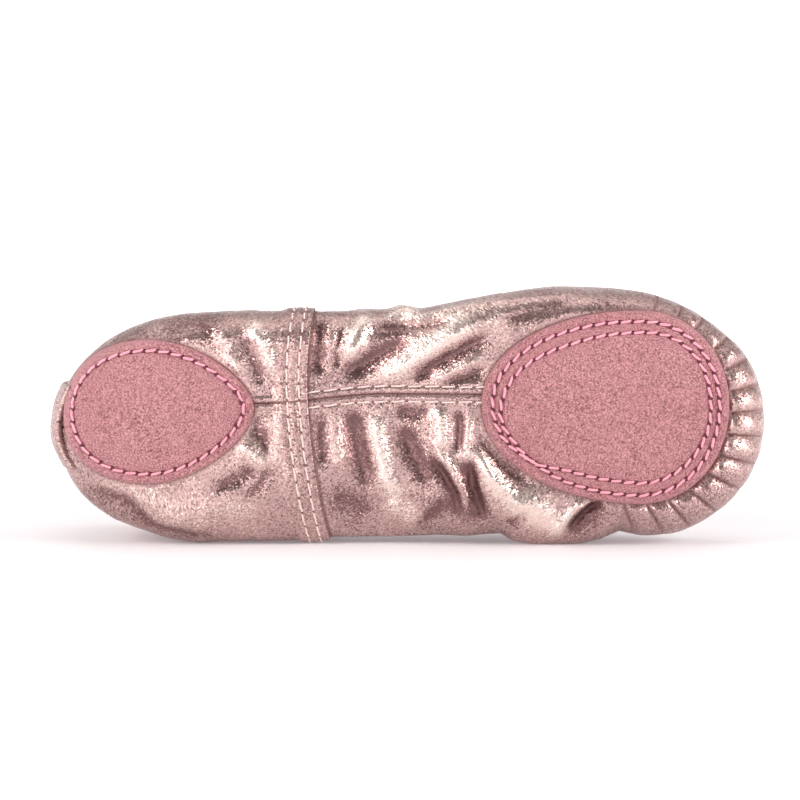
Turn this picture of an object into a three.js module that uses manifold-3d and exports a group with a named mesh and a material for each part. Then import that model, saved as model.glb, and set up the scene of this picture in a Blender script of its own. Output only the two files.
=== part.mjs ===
// A soft split-sole ballet slipper, lying on its left side. Units are millimetres, +Z is up.
// While the shape is worked out, x runs from the heel to the toe, y from the sole into the
// opening, and z up from the floor that the left side lies on. The last lines move the whole
// slipper so that its origin is the centre of its bounding box's underside.
//
// The upper is one closed annulus: each of its lines starts on the centre line of the sole,
// runs out over the edge of the sole, up the wall and in to the topline, which is the rim of
// the foot opening. Every fabric layer is that one surface, moved in or out by its own depth.
import * as THREE from "three";
import { mergeVertices } from "three/addons/utils/BufferGeometryUtils.js";
import Module from "manifold-3d";

const wasm = await Module();
wasm.setup();

// ---------------------------------------------------------------- driving dimensions

// Planform, seen from below the sole.
const upperLength = 190;
const heelHalfWidth = 31.6;
const ballHalfWidth = 34.8;
const heelRoundRight = 42; // length of the quarter ellipse that closes the heel on each side
const heelRoundLeft = 66;
const toeRound = 44; // and of those that close the toe
const ballToToe = 54; // from where it is widest to the tip of the toe
const waistLength = 48; // over which it widens up to there
const floorFlat = 1; // how far the side that it lies on is pressed flat

// The rounded edge between the sole and the wall: its width across the sole and its rise.
const edgeWidthRight = 7;
const edgeWidthLeft = 16;
const edgeWidthHeel = 6;
const edgeWidthToe = 10;
const waistExtraRight = 3;
const waistExtraLeft = 10;
const edgeRiseSide = 12;
const edgeRiseHeel = 11;
const edgeRiseToe = 10;
const archRise = 2.5; // how far the sole is drawn up between its two patches

// Topline, the rim of the opening.
const toplineBack = 4.5;
const vampLength = 73; // from the throat of the opening to the tip of the toe
const openingHalfWidth = 24;
const heelHeight = 44;
const sideHeight = 33;
const throatHeight = 37;
const heelFlare = 10; // the left wall leans out beside the heel

// Fabric layers and the clearances between them.
const gap = 0.3;
const outerFabric = 0.8;
const liningFabric = 0.6;
const crossSeam = 67.7; // where the quarters meet the vamp, and the arch bends
const crossSeamSweepRight = 1.9; // how far the seam's two ends sweep towards the toe
const crossSeamSweepLeft = 5.7;
const seamGap = 0.4;
const threadWidth = 0.6;
const threadHeight = 0.5;

// Suede patches: what each leaves free at its ends and sides, how far it stands above the
// middle of the side that it lies on, and how far along its length it is widest.
const patchThickness = 1.4;
const forefootPatchLength = 66.6;
const forefootPatchToToe = 8.8;
const forefootPatchSides = 17.2;
const forefootPatchRaise = 3.5;
const forefootPatchWidest = 0.645;
const forefootPatchTilt = -1.9; // degrees
const heelPatchToHeel = 2.7;
const heelPatchToSeam = 13.7;
const heelPatchSides = 24.9;
const heelPatchRaise = 5.7;
const heelPatchWidest = 0.553;
const heelPatchTilt = 2.5;
const stitchInset = 2.8;
const stitchRowSpacing = 2.4;

// Insole pads inside, over the lining.
const insoleThickness = 1.6;
const forefootInsoleInset = 4.5; // how much smaller each pad is than its patch
const heelInsoleInset = 6;

// Rows of topstitching beside the two seams.
const crossSeamRows = [1.9, 5.1];
const archSeamRow = 2.1;
const archSeamRaiseHeel = 1.8; // how far the arch seam runs above the middle of each patch
const archSeamRaiseFront = 3.2;

// Folded binding round the topline, and the elastic that runs inside it.
const bindingDepth = 6;
const bindingFabric = 0.6;
const elasticRadius = 0.6;

// Strip over the back seam.
const stripWidth = 22;
const stripRaise = 1; // above the middle of the heel
const stripThickness = 1;

// Crossed elastic straps over the instep.
const strapWidth = 12;
const strapThickness = 1;
const strapTuck = 13; // length that is sewn inside the wall
const strapBackAt = 0.38; // share of the way round from heel to throat, at the rear end
const strapFrontAt = 0.68; // and at the front end
const strapRise = 7; // how far the slack strap stands over the opening
const strapRoom = 1; // clearance from the binding, past what the curve of the wall takes
const strapApart = 0.2; // clearance where the straps cross, for each millimetre of their width

// Mesh fineness.
const linesRound = 48;
const soleRows = 3;
const edgeRows = 5;
const wallRows = 6;

// ---------------------------------------------------------------- small helpers

const clamp01 = (t) => Math.min(1, Math.max(0, t));
const lerp = (a, b, t) => a + (b - a) * t;
const smooth = (t) => clamp01(t) ** 2 * (3 - 2 * clamp01(t));
const bump = (t) => Math.sin(Math.PI * clamp01(t)) ** 2;

// ---------------------------------------------------------------- the shape of the upper

const throat = upperLength - vampLength;
const ballStart = upperLength - ballToToe;

const forefootPatch = {
  x: upperLength - forefootPatchToToe - forefootPatchLength,
  z: ballHalfWidth - floorFlat + forefootPatchRaise,
  length: forefootPatchLength,
  width: 2 * ballHalfWidth - forefootPatchSides,
  widest: forefootPatchWidest,
  tilt: forefootPatchTilt,
  towardsToe: 1,
  narrowEnd: [0.52, 0.6],
  broadEnd: [0.552, 0.58],
};
const heelPatch = {
  x: heelPatchToHeel,
  z: heelHalfWidth - floorFlat + heelPatchRaise,
  length: crossSeam - heelPatchToSeam - heelPatchToHeel,
  width: 2 * heelHalfWidth - heelPatchSides,
  widest: heelPatchWidest,
  tilt: heelPatchTilt,
  towardsToe: -1,
  narrowEnd: [0.5, 0.35],
  broadEnd: [0.6, 0.6],
};

const straightHalfWidth = (x) =>
  lerp(heelHalfWidth, ballHalfWidth, smooth((x - ballStart + waistLength) / waistLength));

function halfWidth(x, side) {
  const heelRound = side < 0 ? heelRoundLeft : heelRoundRight;
  const heel = Math.max(0, (heelRound - x) / heelRound);
  const toe = Math.max(0, (x - (upperLength - toeRound)) / toeRound);
  const rounding = Math.sqrt(Math.max(0, 1 - heel ** 2)) * Math.sqrt(Math.max(0, 1 - toe ** 2));
  return straightHalfWidth(x) * rounding;
}

const centreHeight = (x) => straightHalfWidth(x) - floorFlat;
const patchesApart = [heelPatch.x + heelPatch.length, forefootPatch.x];
const waist = (x) => bump((x - patchesApart[0] + 12) / (patchesApart[1] - patchesApart[0] + 24));
const soleDepth = (x) =>
  archRise * bump((x - patchesApart[0]) / (patchesApart[1] - patchesApart[0]));

// 0 at the very heel and toe, 1 along the sides.
const alongSide = (x) => smooth(1.3 * Math.min(x / heelRoundRight, (upperLength - x) / toeRound));

function edgeWidth(x, side) {
  const straight =
    side > 0 ? edgeWidthRight + waistExtraRight * waist(x) : edgeWidthLeft + waistExtraLeft * waist(x);
  const end = x < upperLength / 2 ? edgeWidthHeel : edgeWidthToe;
  return lerp(end, straight, alongSide(x));
}

function edgeRise(x) {
  const end = x < upperLength / 2 ? edgeRiseHeel : edgeRiseToe;
  return lerp(end, edgeRiseSide, alongSide(x));
}

// The wide round edge on the left puts the centre line of the sole above mid-height.
const soleCentre = (x) => centreHeight(x) + (edgeWidth(x, -1) - edgeWidth(x, 1)) / 2;

// The seam along the middle: up the back of the heel, under its patch and along the arch.
function seamLine(x) {
  const heelEnd = patchesApart[0];
  const atHeel = heelPatch.z + archSeamRaiseHeel;
  if (x < heelEnd) return lerp(centreHeight(x) + stripRaise, atHeel, smooth(x / heelEnd));
  const along = smooth((x - heelEnd) / (0.6 * (patchesApart[1] - heelEnd)));
  return lerp(atHeel, forefootPatch.z + archSeamRaiseFront, along);
}

// The cross seam, as its place in x at a height above the floor.
function crossSeamAt(z) {
  const straight = heelPatch.z + archSeamRaiseHeel + 6;
  const right = clamp01((z - straight) / (2 * heelHalfWidth - straight));
  const left = clamp01((straight - z) / straight);
  return crossSeam + crossSeamSweepRight * right ** 2 + crossSeamSweepLeft * left ** 1.8;
}

function outlinePoint(angle) {
  const x = (upperLength / 2) * (1 - Math.cos(angle));
  const side = Math.sign(Math.sin(angle));
  return new THREE.Vector2(x, centreHeight(x) + side * halfWidth(x, side));
}

function outlineInward(angle) {
  const step = 1e-3;
  const along = outlinePoint(angle + step).sub(outlinePoint(angle - step)).normalize();
  return new THREE.Vector2(along.y, -along.x);
}

// How far along the topline a line of the upper ends, from 0 at the heel to 1 at the throat.
function toplineShare(angle) {
  const q = (1 - Math.cos(angle)) / 2;
  const leaveHeel = 1.6;
  const reachThroat = 0.35;
  return (
    (q ** 3 - 2 * q ** 2 + q) * leaveHeel + (3 * q ** 2 - 2 * q ** 3) + (q ** 3 - q ** 2) * reachThroat
  );
}

function toplinePoint(angle) {
  const share = toplineShare(angle);
  const side = Math.sign(Math.sin(angle));
  const x = lerp(toplineBack, throat, share);
  const half = openingHalfWidth * Math.sqrt(Math.max(0, 1 - Math.abs(2 * share - 1) ** 2.6));
  const flare = side < 0 ? heelFlare * Math.sin(Math.PI * clamp01(share / 0.5)) : 0;
  const rear = lerp(heelHeight, sideHeight, smooth(share / 0.5));
  const depth = lerp(rear, throatHeight, smooth((share - 0.55) / 0.45));
  const aboveFloor = gap + 2 * bindingFabric;
  const z = Math.max(aboveFloor, centreHeight(x) + side * (half + flare));
  return new THREE.Vector3(x, depth, z);
}

// A line of the upper as points, from the centre line of the sole to the topline.
function upperLine(angle) {
  const side = Math.sin(angle) < 0 ? -1 : 1;
  const outline = outlinePoint(angle);
  const inward = outlineInward(angle);
  const width = edgeWidth(outline.x, side);
  const rise = edgeRise(outline.x);
  const edge = outline.clone().addScaledVector(inward, width);
  const centreX = lerp(heelPatch.x + 22, upperLength - 36, (1 - Math.cos(angle)) / 2);
  const centre = new THREE.Vector2(centreX, soleCentre(centreX));
  const points = [];
  for (let i = 0; i < soleRows; i++) {
    const p = centre.clone().lerp(edge, i / soleRows);
    points.push(new THREE.Vector3(p.x, soleDepth(p.x), p.y));
  }
  for (let i = 0; i < edgeRows; i++) {
    const turn = ((Math.PI / 2) * i) / edgeRows;
    const p = edge.clone().addScaledVector(inward, -width * Math.sin(turn));
    points.push(new THREE.Vector3(p.x, lerp(soleDepth(edge.x), rise, 1 - Math.cos(turn)), p.y));
  }
  const wall = wallCurve(angle, outline, rise);
  for (let i = 0; i <= wallRows; i++) points.push(wall.getPoint(i / wallRows));
  for (const p of points) p.z = Math.max(p.z, 0);
  return points;
}

// The wall stands up from the outline and leans in to the topline; over the toe it lies down.
function wallCurve(angle, outline, rise) {
  const foot = new THREE.Vector3(outline.x, rise, outline.y);
  const top = toplinePoint(angle);
  const overToe = smooth((outline.x / upperLength - 0.55) / 0.45);
  const height = top.y - rise;
  const lower = foot.clone();
  lower.y += height * lerp(0.5, 0.42, overToe);
  const upper = top.clone().lerp(foot, 0.42);
  upper.y = top.y - height * lerp(0.35, 0.12, overToe);
  return new THREE.CubicBezierCurve3(foot, lower, upper, top);
}

// The whole upper as a grid of points with their outward normals.
const upperGrid = makeUpperGrid();

function makeUpperGrid() {
  const lines = [];
  for (let i = 0; i < linesRound; i++) lines.push(upperLine((2 * Math.PI * i) / linesRound));
  const rows = lines[0].length;
  const normals = lines.map((line, i) =>
    line.map((p, j) => {
      if (j === 0) return new THREE.Vector3(0, -1, 0);
      const before = lines[(i + linesRound - 1) % linesRound][j];
      const after = lines[(i + 1) % linesRound][j];
      const around = new THREE.Vector3().subVectors(after, before);
      const along = new THREE.Vector3().subVectors(line[Math.min(j + 1, rows - 1)], line[j - 1]);
      return around.cross(along).normalize();
    }),
  );
  return { lines, normals, rows };
}

// ---------------------------------------------------------------- solids

function solid(positions, triangles) {
  const geometry = new THREE.BufferGeometry();
  geometry.setAttribute("position", new THREE.Float32BufferAttribute(positions, 3));
  geometry.setIndex(triangles);
  return solidOf(geometry);
}

function solidOf(geometry) {
  const bare = geometry.clone();
  bare.deleteAttribute("normal");
  bare.deleteAttribute("uv");
  const merged = mergeVertices(bare, 1e-4);
  return new wasm.Manifold(
    new wasm.Mesh({
      numProp: 3,
      vertProperties: merged.attributes.position.array,
      triVerts: new Uint32Array(merged.index.array),
    }),
  );
}

function geometryOf(manifold) {
  const mesh = manifold.getMesh();
  const geometry = new THREE.BufferGeometry();
  geometry.setAttribute("position", new THREE.Float32BufferAttribute(mesh.vertProperties, 3));
  geometry.setIndex(new THREE.Uint32BufferAttribute(mesh.triVerts, 1));
  geometry.computeVertexNormals();
  return geometry;
}

// A layer of the upper between two depths. A negative depth lies outside the outer fabric.
function layer(outsideDepth, insideDepth) {
  const { lines, normals, rows } = upperGrid;
  const positions = [];
  for (const depth of [outsideDepth, insideDepth])
    lines.forEach((line, i) =>
      line.forEach((p, j) => positions.push(...p.clone().addScaledVector(normals[i][j], -depth))),
    );
  const at = (sheet, i, j) => (sheet * linesRound + (i % linesRound)) * rows + j;
  const triangles = [];
  const quad = (a, b, c, d) => triangles.push(a, b, c, a, c, d);
  for (let i = 0; i < linesRound; i++) {
    for (let j = 0; j + 1 < rows; j++) {
      quad(at(0, i, j), at(0, i + 1, j), at(0, i + 1, j + 1), at(0, i, j + 1));
      quad(at(1, i, j + 1), at(1, i + 1, j + 1), at(1, i + 1, j), at(1, i, j));
    }
    quad(at(0, i, rows - 1), at(0, i + 1, rows - 1), at(1, i + 1, rows - 1), at(1, i, rows - 1));
  }
  return solid(positions, triangles);
}

// A closed loft through rings of equally many points: a loop, or a bar with flat ends.
function loft(rings, isLoop) {
  const size = rings[0].length;
  const positions = rings.flat().flatMap((p) => [p.x, p.y, p.z]);
  const triangles = [];
  const spans = isLoop ? rings.length : rings.length - 1;
  for (let i = 0; i < spans; i++)
    for (let j = 0; j < size; j++) {
      const a = i * size + j;
      const b = i * size + ((j + 1) % size);
      const c = ((i + 1) % rings.length) * size + ((j + 1) % size);
      const d = ((i + 1) % rings.length) * size + j;
      triangles.push(a, b, c, a, c, d);
    }
  if (!isLoop) {
    const last = (rings.length - 1) * size;
    for (let j = 1; j + 1 < size; j++) {
      triangles.push(0, j + 1, j);
      triangles.push(last, last + j, last + j + 1);
    }
  }
  const made = solid(positions, triangles);
  return made.volume() < 0 ? solid(positions, triangles.toReversed()) : made;
}

// A box between two corners.
function block(x0, y0, z0, x1, y1, z1) {
  const geometry = new THREE.BoxGeometry(x1 - x0, y1 - y0, z1 - z0);
  geometry.translate((x0 + x1) / 2, (y0 + y1) / 2, (z0 + z1) / 2);
  return solidOf(geometry);
}

const far = 500;

// A plate with its outline in the plane of the sole, from one depth to another.
function plate(shape, depth0, depth1) {
  const geometry = new THREE.ExtrudeGeometry(shape, {
    depth: depth1 - depth0,
    bevelEnabled: false,
    curveSegments: 10,
  });
  geometry.rotateX(Math.PI / 2); // the outline's second coordinate becomes z
  geometry.translate(0, depth1, 0);
  return solidOf(geometry);
}

// A strip that follows the seam along the middle, between two offsets from it in z.
function alongSeamLine(x0, x1, low, high) {
  const steps = 14;
  const points = [];
  for (let i = 0; i <= steps; i++) {
    const x = lerp(x0, x1, i / steps);
    points.push(new THREE.Vector2(x, seamLine(x) + low));
  }
  for (let i = steps; i >= 0; i--) {
    const x = lerp(x0, x1, i / steps);
    points.push(new THREE.Vector2(x, seamLine(x) + high));
  }
  return new THREE.Shape(points);
}

// All of the space that lies more than a distance behind the cross seam.
function behindSeam(distance) {
  const steps = 20;
  const top = 3 * ballHalfWidth;
  const points = [new THREE.Vector2(-far, -top), new THREE.Vector2(crossSeamAt(0) - distance, -top)];
  for (let i = 0; i <= steps; i++) {
    const z = (top * i) / steps;
    points.push(new THREE.Vector2(crossSeamAt(z) - distance, z));
  }
  points.push(new THREE.Vector2(-far, top));
  return plate(new THREE.Shape(points), -far, far);
}

const rearOf = (manifold) => manifold.intersect(behindSeam(seamGap / 2));
const frontOf = (manifold) => manifold.subtract(behindSeam(-seamGap / 2));

const largestBody = (manifold) =>
  manifold.decompose().reduce((a, b) => (a.volume() > b.volume() ? a : b));

// ---------------------------------------------------------------- the pieces

// An egg-shaped outline, drawn in by an inset. Each of its ends is two curves from the widest
// place to the tip, and a pair of shares says how full they are: 0.552 twice is an ellipse.
function eggShape(patch, inset) {
  const half = patch.width / 2 - inset;
  const narrow = patch.widest * patch.length - inset;
  const broad = (1 - patch.widest) * patch.length - inset;
  const wideX = patch.x + (patch.towardsToe > 0 ? patch.widest : 1 - patch.widest) * patch.length;
  const turn = THREE.MathUtils.degToRad(patch.tilt);
  const place = (u, v) => {
    const along = u * patch.towardsToe;
    const x = wideX + along * Math.cos(turn) - v * Math.sin(turn);
    return [x, patch.z + along * Math.sin(turn) + v * Math.cos(turn)];
  };
  const shape = new THREE.Shape();
  const toTip = (u, v, [across, up]) =>
    shape.bezierCurveTo(...place(u * across, v), ...place(u, v * up), ...place(u, 0));
  const fromTip = (u, v, [across, up]) =>
    shape.bezierCurveTo(...place(u, v * up), ...place(u * across, v), ...place(0, v));
  shape.moveTo(...place(0, half));
  toTip(broad, half, patch.broadEnd);
  fromTip(broad, -half, patch.broadEnd);
  toTip(-narrow, -half, patch.narrowEnd);
  fromTip(-narrow, half, patch.narrowEnd);
  return shape;
}

function eggRing(patch, inset, width, depth0, depth1) {
  return plate(eggShape(patch, inset - width / 2), depth0, depth1).subtract(
    plate(eggShape(patch, inset + width / 2), depth0 - 1, depth1 + 1),
  );
}

// A suede patch with a groove for each row of stitches.
function solePatch(patch, insets) {
  let made = plate(eggShape(patch, 0), -gap - patchThickness, -gap);
  const floorOfGroove = -gap - patchThickness + threadHeight + gap;
  for (const inset of insets)
    made = made.subtract(
      eggRing(patch, inset, threadWidth + 2 * gap, -gap - patchThickness - 1, floorOfGroove),
    );
  return made;
}

const groovedStitch = (patch, inset) =>
  eggRing(patch, inset, threadWidth, -gap - patchThickness, -gap - patchThickness + threadHeight);

const liningOutside = outerFabric + gap;
const liningInside = liningOutside + liningFabric;

function insole(patch, inset) {
  const bottom = liningInside + gap;
  const pad = plate(eggShape(patch, inset), bottom, bottom + insoleThickness);
  return pad.subtract(layer(-patchThickness, liningInside + gap / 2));
}

const outerLayer = layer(0, outerFabric);
// Facets of neighbouring layers aren't quite parallel, so the lining is trimmed clear of the fabric.
const liningLayer = largestBody(
  layer(liningOutside, liningInside).subtract(layer(-patchThickness, outerFabric + gap / 2)),
);
const threadLayer = layer(-gap - threadHeight, -gap);
const aboveFloor = block(-far, -far, gap, far, far, far);

// The vamp, with the slit where its two edges meet under the arch.
function vampOuter() {
  const slit = alongSeamLine(crossSeam - 1, forefootPatch.x + 8, -gap / 2, gap / 2);
  return frontOf(outerLayer).subtract(plate(slit, -5, archRise + 3));
}

// A quarter is the rear of the upper on one side of the sole's centre line.
function quarter(side) {
  const cut = side > 0 ? [gap / 2, far] : [-far, -gap / 2];
  const half = alongSeamLine(-20, crossSeam + 2 * crossSeamSweepLeft, ...cut);
  return rearOf(outerLayer).intersect(plate(half, -20, 80));
}

function crossSeamStitch(distance) {
  const slab = behindSeam(distance - threadWidth / 2).subtract(behindSeam(distance + threadWidth / 2));
  const belowBinding = block(-far, -far, -far, far, sideHeight - bindingDepth - 2, far);
  return largestBody(threadLayer.intersect(slab).intersect(aboveFloor).intersect(belowBinding));
}

function archSeamStitch(side) {
  const from = side * archSeamRow - threadWidth / 2;
  const strip = alongSeamLine(crossSeam + 1, forefootPatch.x - 1, from, from + threadWidth);
  return largestBody(threadLayer.intersect(plate(strip, -10, archRise + 4)));
}

function heelStrip() {
  const low = centreHeight(0) + stripRaise - stripWidth / 2;
  const top = heelHeight - bindingDepth - 2 * gap;
  const reach = block(-far, 0, low, heelRoundRight / 2, top, low + stripWidth);
  return layer(-gap - stripThickness, -gap).intersect(reach);
}

// The place of a point near the topline: out from the wall, and up along it past the rim.
function rimFrame(i) {
  const { lines, normals, rows } = upperGrid;
  const top = lines[i][rows - 1];
  const out = normals[i][rows - 1];
  const up = new THREE.Vector3().subVectors(top, lines[i][rows - 2]).normalize();
  return (outwards, upwards) =>
    top.clone().addScaledVector(out, outwards).addScaledVector(up, upwards);
}

const rimRing = (section) =>
  loft(
    Array.from({ length: linesRound }, (_, i) => {
      const place = rimFrame(i);
      return section.map(([outwards, upwards]) => place(outwards, upwards));
    }),
    true,
  );

// The binding is a folded strip with the two fabrics in its mouth and the elastic in its fold.
const outside = gap + bindingFabric;
const inside = -liningInside - gap - bindingFabric;
const foldInside = 4 * gap + 2 * elasticRadius;
const fold = foldInside + bindingFabric;

function binding() {
  const shoulder = 1;
  return rimRing([
    [outside, -bindingDepth],
    [outside, fold - shoulder],
    [outside - shoulder, fold],
    [inside + shoulder, fold],
    [inside, fold - shoulder],
    [inside, -bindingDepth],
    [inside + bindingFabric, -bindingDepth],
    [inside + bindingFabric, foldInside - shoulder / 2],
    [inside + bindingFabric + shoulder / 2, foldInside],
    [outside - bindingFabric - shoulder / 2, foldInside],
    [outside - bindingFabric, foldInside - shoulder / 2],
    [outside - bindingFabric, -bindingDepth],
  ]);
}

function toplineElastic() {
  const sides = 8;
  const middle = [-liningInside / 2, 2 * gap + elasticRadius];
  return rimRing(
    Array.from({ length: sides }, (_, i) => {
      const turn = (2 * Math.PI * i) / sides;
      return [
        middle[0] + elasticRadius * Math.cos(turn), middle[1] + elasticRadius * Math.sin(turn),
      ];
    }),
  );
}

// The space that the binding and the layers below it need, for what passes over them.
function rimClearance() {
  return rimRing([
    [outside + gap, -bindingDepth - gap],
    [outside + gap, fold + gap],
    [inside - gap, fold + gap],
    [inside - gap, -bindingDepth - gap],
  ]).add(layer(-gap, liningInside + gap));
}

// The line of the upper that ends a given share of the way from heel to throat.
function lineAtShare(share, side) {
  let best = 0;
  for (let i = 0; i < linesRound; i++) {
    const angle = (2 * Math.PI * i) / linesRound;
    const rightSide = side > 0 ? angle < Math.PI : angle > Math.PI;
    const miss = (k) => Math.abs(toplineShare((2 * Math.PI * k) / linesRound) - share);
    if (rightSide && (best === 0 || miss(i) < miss(best))) best = i;
  }
  return best;
}

// A flat strap from inside one wall, over the opening, to inside the other wall.
function strap(backSide, lift) {
  const bow = strapWidth ** 2 / (8 * openingHalfWidth);
  const wallFace = inside - bow - strapRoom - strapThickness / 2;
  const clearOfRim = fold + 2;
  const back = rimFrame(lineAtShare(strapBackAt, backSide));
  const front = rimFrame(lineAtShare(strapFrontAt, -backSide));
  const raised = new THREE.Vector3(0, lift, 0);
  const backRim = back(wallFace, clearOfRim).add(raised);
  const frontRim = front(wallFace, clearOfRim).add(raised);
  const middle = backRim.clone().lerp(frontRim, 0.5);
  middle.y += strapRise;
  const path = new THREE.CatmullRomCurve3([
    back(wallFace, -strapTuck),
    back(wallFace, -strapTuck / 2),
    backRim,
    middle,
    frontRim,
    front(wallFace, -strapTuck / 2),
    front(wallFace, -strapTuck),
  ]);
  const facing = (t) => {
    const inBack = back(-1, 0).sub(back(0, 0));
    const inFront = front(-1, 0).sub(front(0, 0));
    const overOpening = new THREE.Vector3(0, -1, 0);
    return t < 0.5
      ? inBack.lerp(overOpening, smooth(t / 0.5))
      : overOpening.lerp(inFront, smooth((t - 0.5) / 0.5));
  };
  const steps = 24;
  const whole = loft(
    Array.from({ length: steps + 1 }, (_, i) => {
      const along = path.getTangentAt(i / steps);
      const across = new THREE.Vector3().crossVectors(facing(i / steps), along).normalize();
      const thick = new THREE.Vector3().crossVectors(along, across);
      return [[-1, -1], [1, -1], [1, 1], [-1, 1]].map(([a, b]) =>
        path
          .getPointAt(i / steps)
          .addScaledVector(across, (a * strapWidth) / 2)
          .addScaledVector(thick, (b * strapThickness) / 2),
      );
    }),
    false,
  );
  return largestBody(whole.subtract(rimClearance()));
}

// ---------------------------------------------------------------- materials and assembly

const material = (color, roughness, metalness) =>
  new THREE.MeshStandardMaterial({ color, roughness, metalness });
const roseGold = material("#cfa9a4", 0.38, 0.75);
const suede = material("#c97f8c", 0.95, 0);
const suedeThread = material("#e08aa0", 0.6, 0);
const seamThread = material("#e6cfc8", 0.55, 0);
const cotton = material("#ecdcd2", 0.9, 0);
const elasticWeb = material("#d9aaa6", 0.8, 0);

const slipper = new THREE.Group();
slipper.name = "ballet_slipper";

function add(name, manifold, look) {
  const mesh = new THREE.Mesh(geometryOf(manifold), look);
  mesh.name = name;
  slipper.add(mesh);
}

const forefootRows = [stitchInset, stitchInset + stitchRowSpacing];
const bindingRing = largestBody(binding().subtract(layer(-gap / 2, liningInside + gap / 2)));

add("vamp", vampOuter(), roseGold);
add("quarter_right", quarter(1), roseGold);
add("quarter_left", quarter(-1), roseGold);
add("vamp_lining", frontOf(liningLayer), cotton);
add("quarter_lining", rearOf(liningLayer), cotton);
add("forefoot_sole_patch", solePatch(forefootPatch, forefootRows), suede);
add("heel_sole_patch", solePatch(heelPatch, [stitchInset]), suede);
add("forefoot_patch_outer_stitches", groovedStitch(forefootPatch, forefootRows[0]), suedeThread);
add("forefoot_patch_inner_stitches", groovedStitch(forefootPatch, forefootRows[1]), suedeThread);
add("heel_patch_stitches", groovedStitch(heelPatch, stitchInset), suedeThread);
add("cross_seam_front_stitches", crossSeamStitch(crossSeamRows[0]), seamThread);
add("cross_seam_rear_stitches", crossSeamStitch(crossSeamRows[1]), seamThread);
add("arch_seam_right_stitches", archSeamStitch(1), seamThread);
add("arch_seam_left_stitches", archSeamStitch(-1), seamThread);
add("forefoot_insole", insole(forefootPatch, forefootInsoleInset), cotton);
add("heel_insole", insole(heelPatch, heelInsoleInset), cotton);
add("heel_back_strip", heelStrip(), roseGold);
add("vamp_binding", frontOf(bindingRing), roseGold);
add("quarter_binding", rearOf(bindingRing), roseGold);
add("topline_elastic", toplineElastic(), elasticWeb);
add("instep_strap_lower", strap(1, 0), elasticWeb);
add("instep_strap_upper", strap(-1, strapThickness + strapApart * strapWidth), elasticWeb);

const bounds = new THREE.Box3().setFromObject(slipper);
const middle = bounds.getCenter(new THREE.Vector3());
slipper.position.set(-middle.x, -middle.y, -bounds.min.z);

export default slipper;
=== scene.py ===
# %% [markdown]
# # A split-sole ballet slipper, lying on its side
# The slipper is a soft tube of metallic cloth, closed under the arch, with two suede patches
# where the dancer stands. It lies on its left side with the sole towards us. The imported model
# gives every piece its place and the hinge that bends the arch. This lesson dresses that
# frame in cloth, folds, suede and thread.

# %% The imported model
import math

import bmesh
import bpy
import numpy as np
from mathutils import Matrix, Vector
from mathutils.bvhtree import BVHTree


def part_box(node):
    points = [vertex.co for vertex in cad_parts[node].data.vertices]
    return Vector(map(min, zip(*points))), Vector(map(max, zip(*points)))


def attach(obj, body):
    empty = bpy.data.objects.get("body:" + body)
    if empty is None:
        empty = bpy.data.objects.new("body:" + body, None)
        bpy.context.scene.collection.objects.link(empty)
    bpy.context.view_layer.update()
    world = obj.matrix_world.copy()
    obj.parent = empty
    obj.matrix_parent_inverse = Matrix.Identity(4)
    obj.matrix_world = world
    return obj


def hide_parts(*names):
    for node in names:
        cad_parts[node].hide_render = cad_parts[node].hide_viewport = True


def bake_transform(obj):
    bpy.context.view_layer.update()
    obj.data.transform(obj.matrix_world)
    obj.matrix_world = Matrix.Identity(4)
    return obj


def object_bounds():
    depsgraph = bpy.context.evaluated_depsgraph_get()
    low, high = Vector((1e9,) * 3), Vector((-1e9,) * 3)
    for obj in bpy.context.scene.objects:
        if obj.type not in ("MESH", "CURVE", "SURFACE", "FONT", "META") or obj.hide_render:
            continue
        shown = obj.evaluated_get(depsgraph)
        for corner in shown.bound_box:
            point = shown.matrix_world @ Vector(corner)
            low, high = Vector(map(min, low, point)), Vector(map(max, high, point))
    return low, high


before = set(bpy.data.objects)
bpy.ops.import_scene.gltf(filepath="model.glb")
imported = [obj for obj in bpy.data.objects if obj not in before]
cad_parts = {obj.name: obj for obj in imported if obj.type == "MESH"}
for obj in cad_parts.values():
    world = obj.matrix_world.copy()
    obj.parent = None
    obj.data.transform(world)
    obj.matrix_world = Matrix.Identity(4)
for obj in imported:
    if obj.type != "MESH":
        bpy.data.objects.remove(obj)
cad_low, cad_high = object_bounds()
vamp_low, vamp_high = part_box("vamp")
# The pattern below is cut in millimetres from the heel (x), the sole (y) and the floor (z).
sole_length = 190.0
pattern_corner = np.array([vamp_high.x - sole_length * 0.001, vamp_low.y, vamp_low.z])


def to_frame(points):
    return np.asarray(points, float) * 0.001 + pattern_corner


print("CAD box", [round(v, 4) for v in (*cad_low, *cad_high)])

# %% [markdown]
# ## The camera
# A long lens keeps the two ends of the slipper equally large. It looks straight at the sole
# from a little above the floor.

# %% Camera
def put(name, data):
    """A new object in the scene, at the origin."""
    made = bpy.data.objects.new(name, data)
    bpy.context.scene.collection.objects.link(made)
    return made


view_height, view_distance = math.radians(5), 0.588
aim_aside, aim_height = -0.0016, 0.0392
aim = Vector(((cad_low.x + cad_high.x) / 2 + aim_aside, cad_low.y, aim_height))
camera = put("camera", bpy.data.cameras.new("camera"))
camera.data.lens, camera.data.sensor_width = 100, 36
camera.data.clip_start, camera.data.clip_end = 0.01, 50
camera.location = aim + view_distance * Vector((0, -math.cos(view_height), math.sin(view_height)))
camera.rotation_euler = (math.pi / 2 - view_height, 0, 0)
bpy.context.scene.camera = camera
bpy.context.scene.view_settings.view_transform = "Standard"
print("camera at", tuple(round(v, 3) for v in camera.location))

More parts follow.
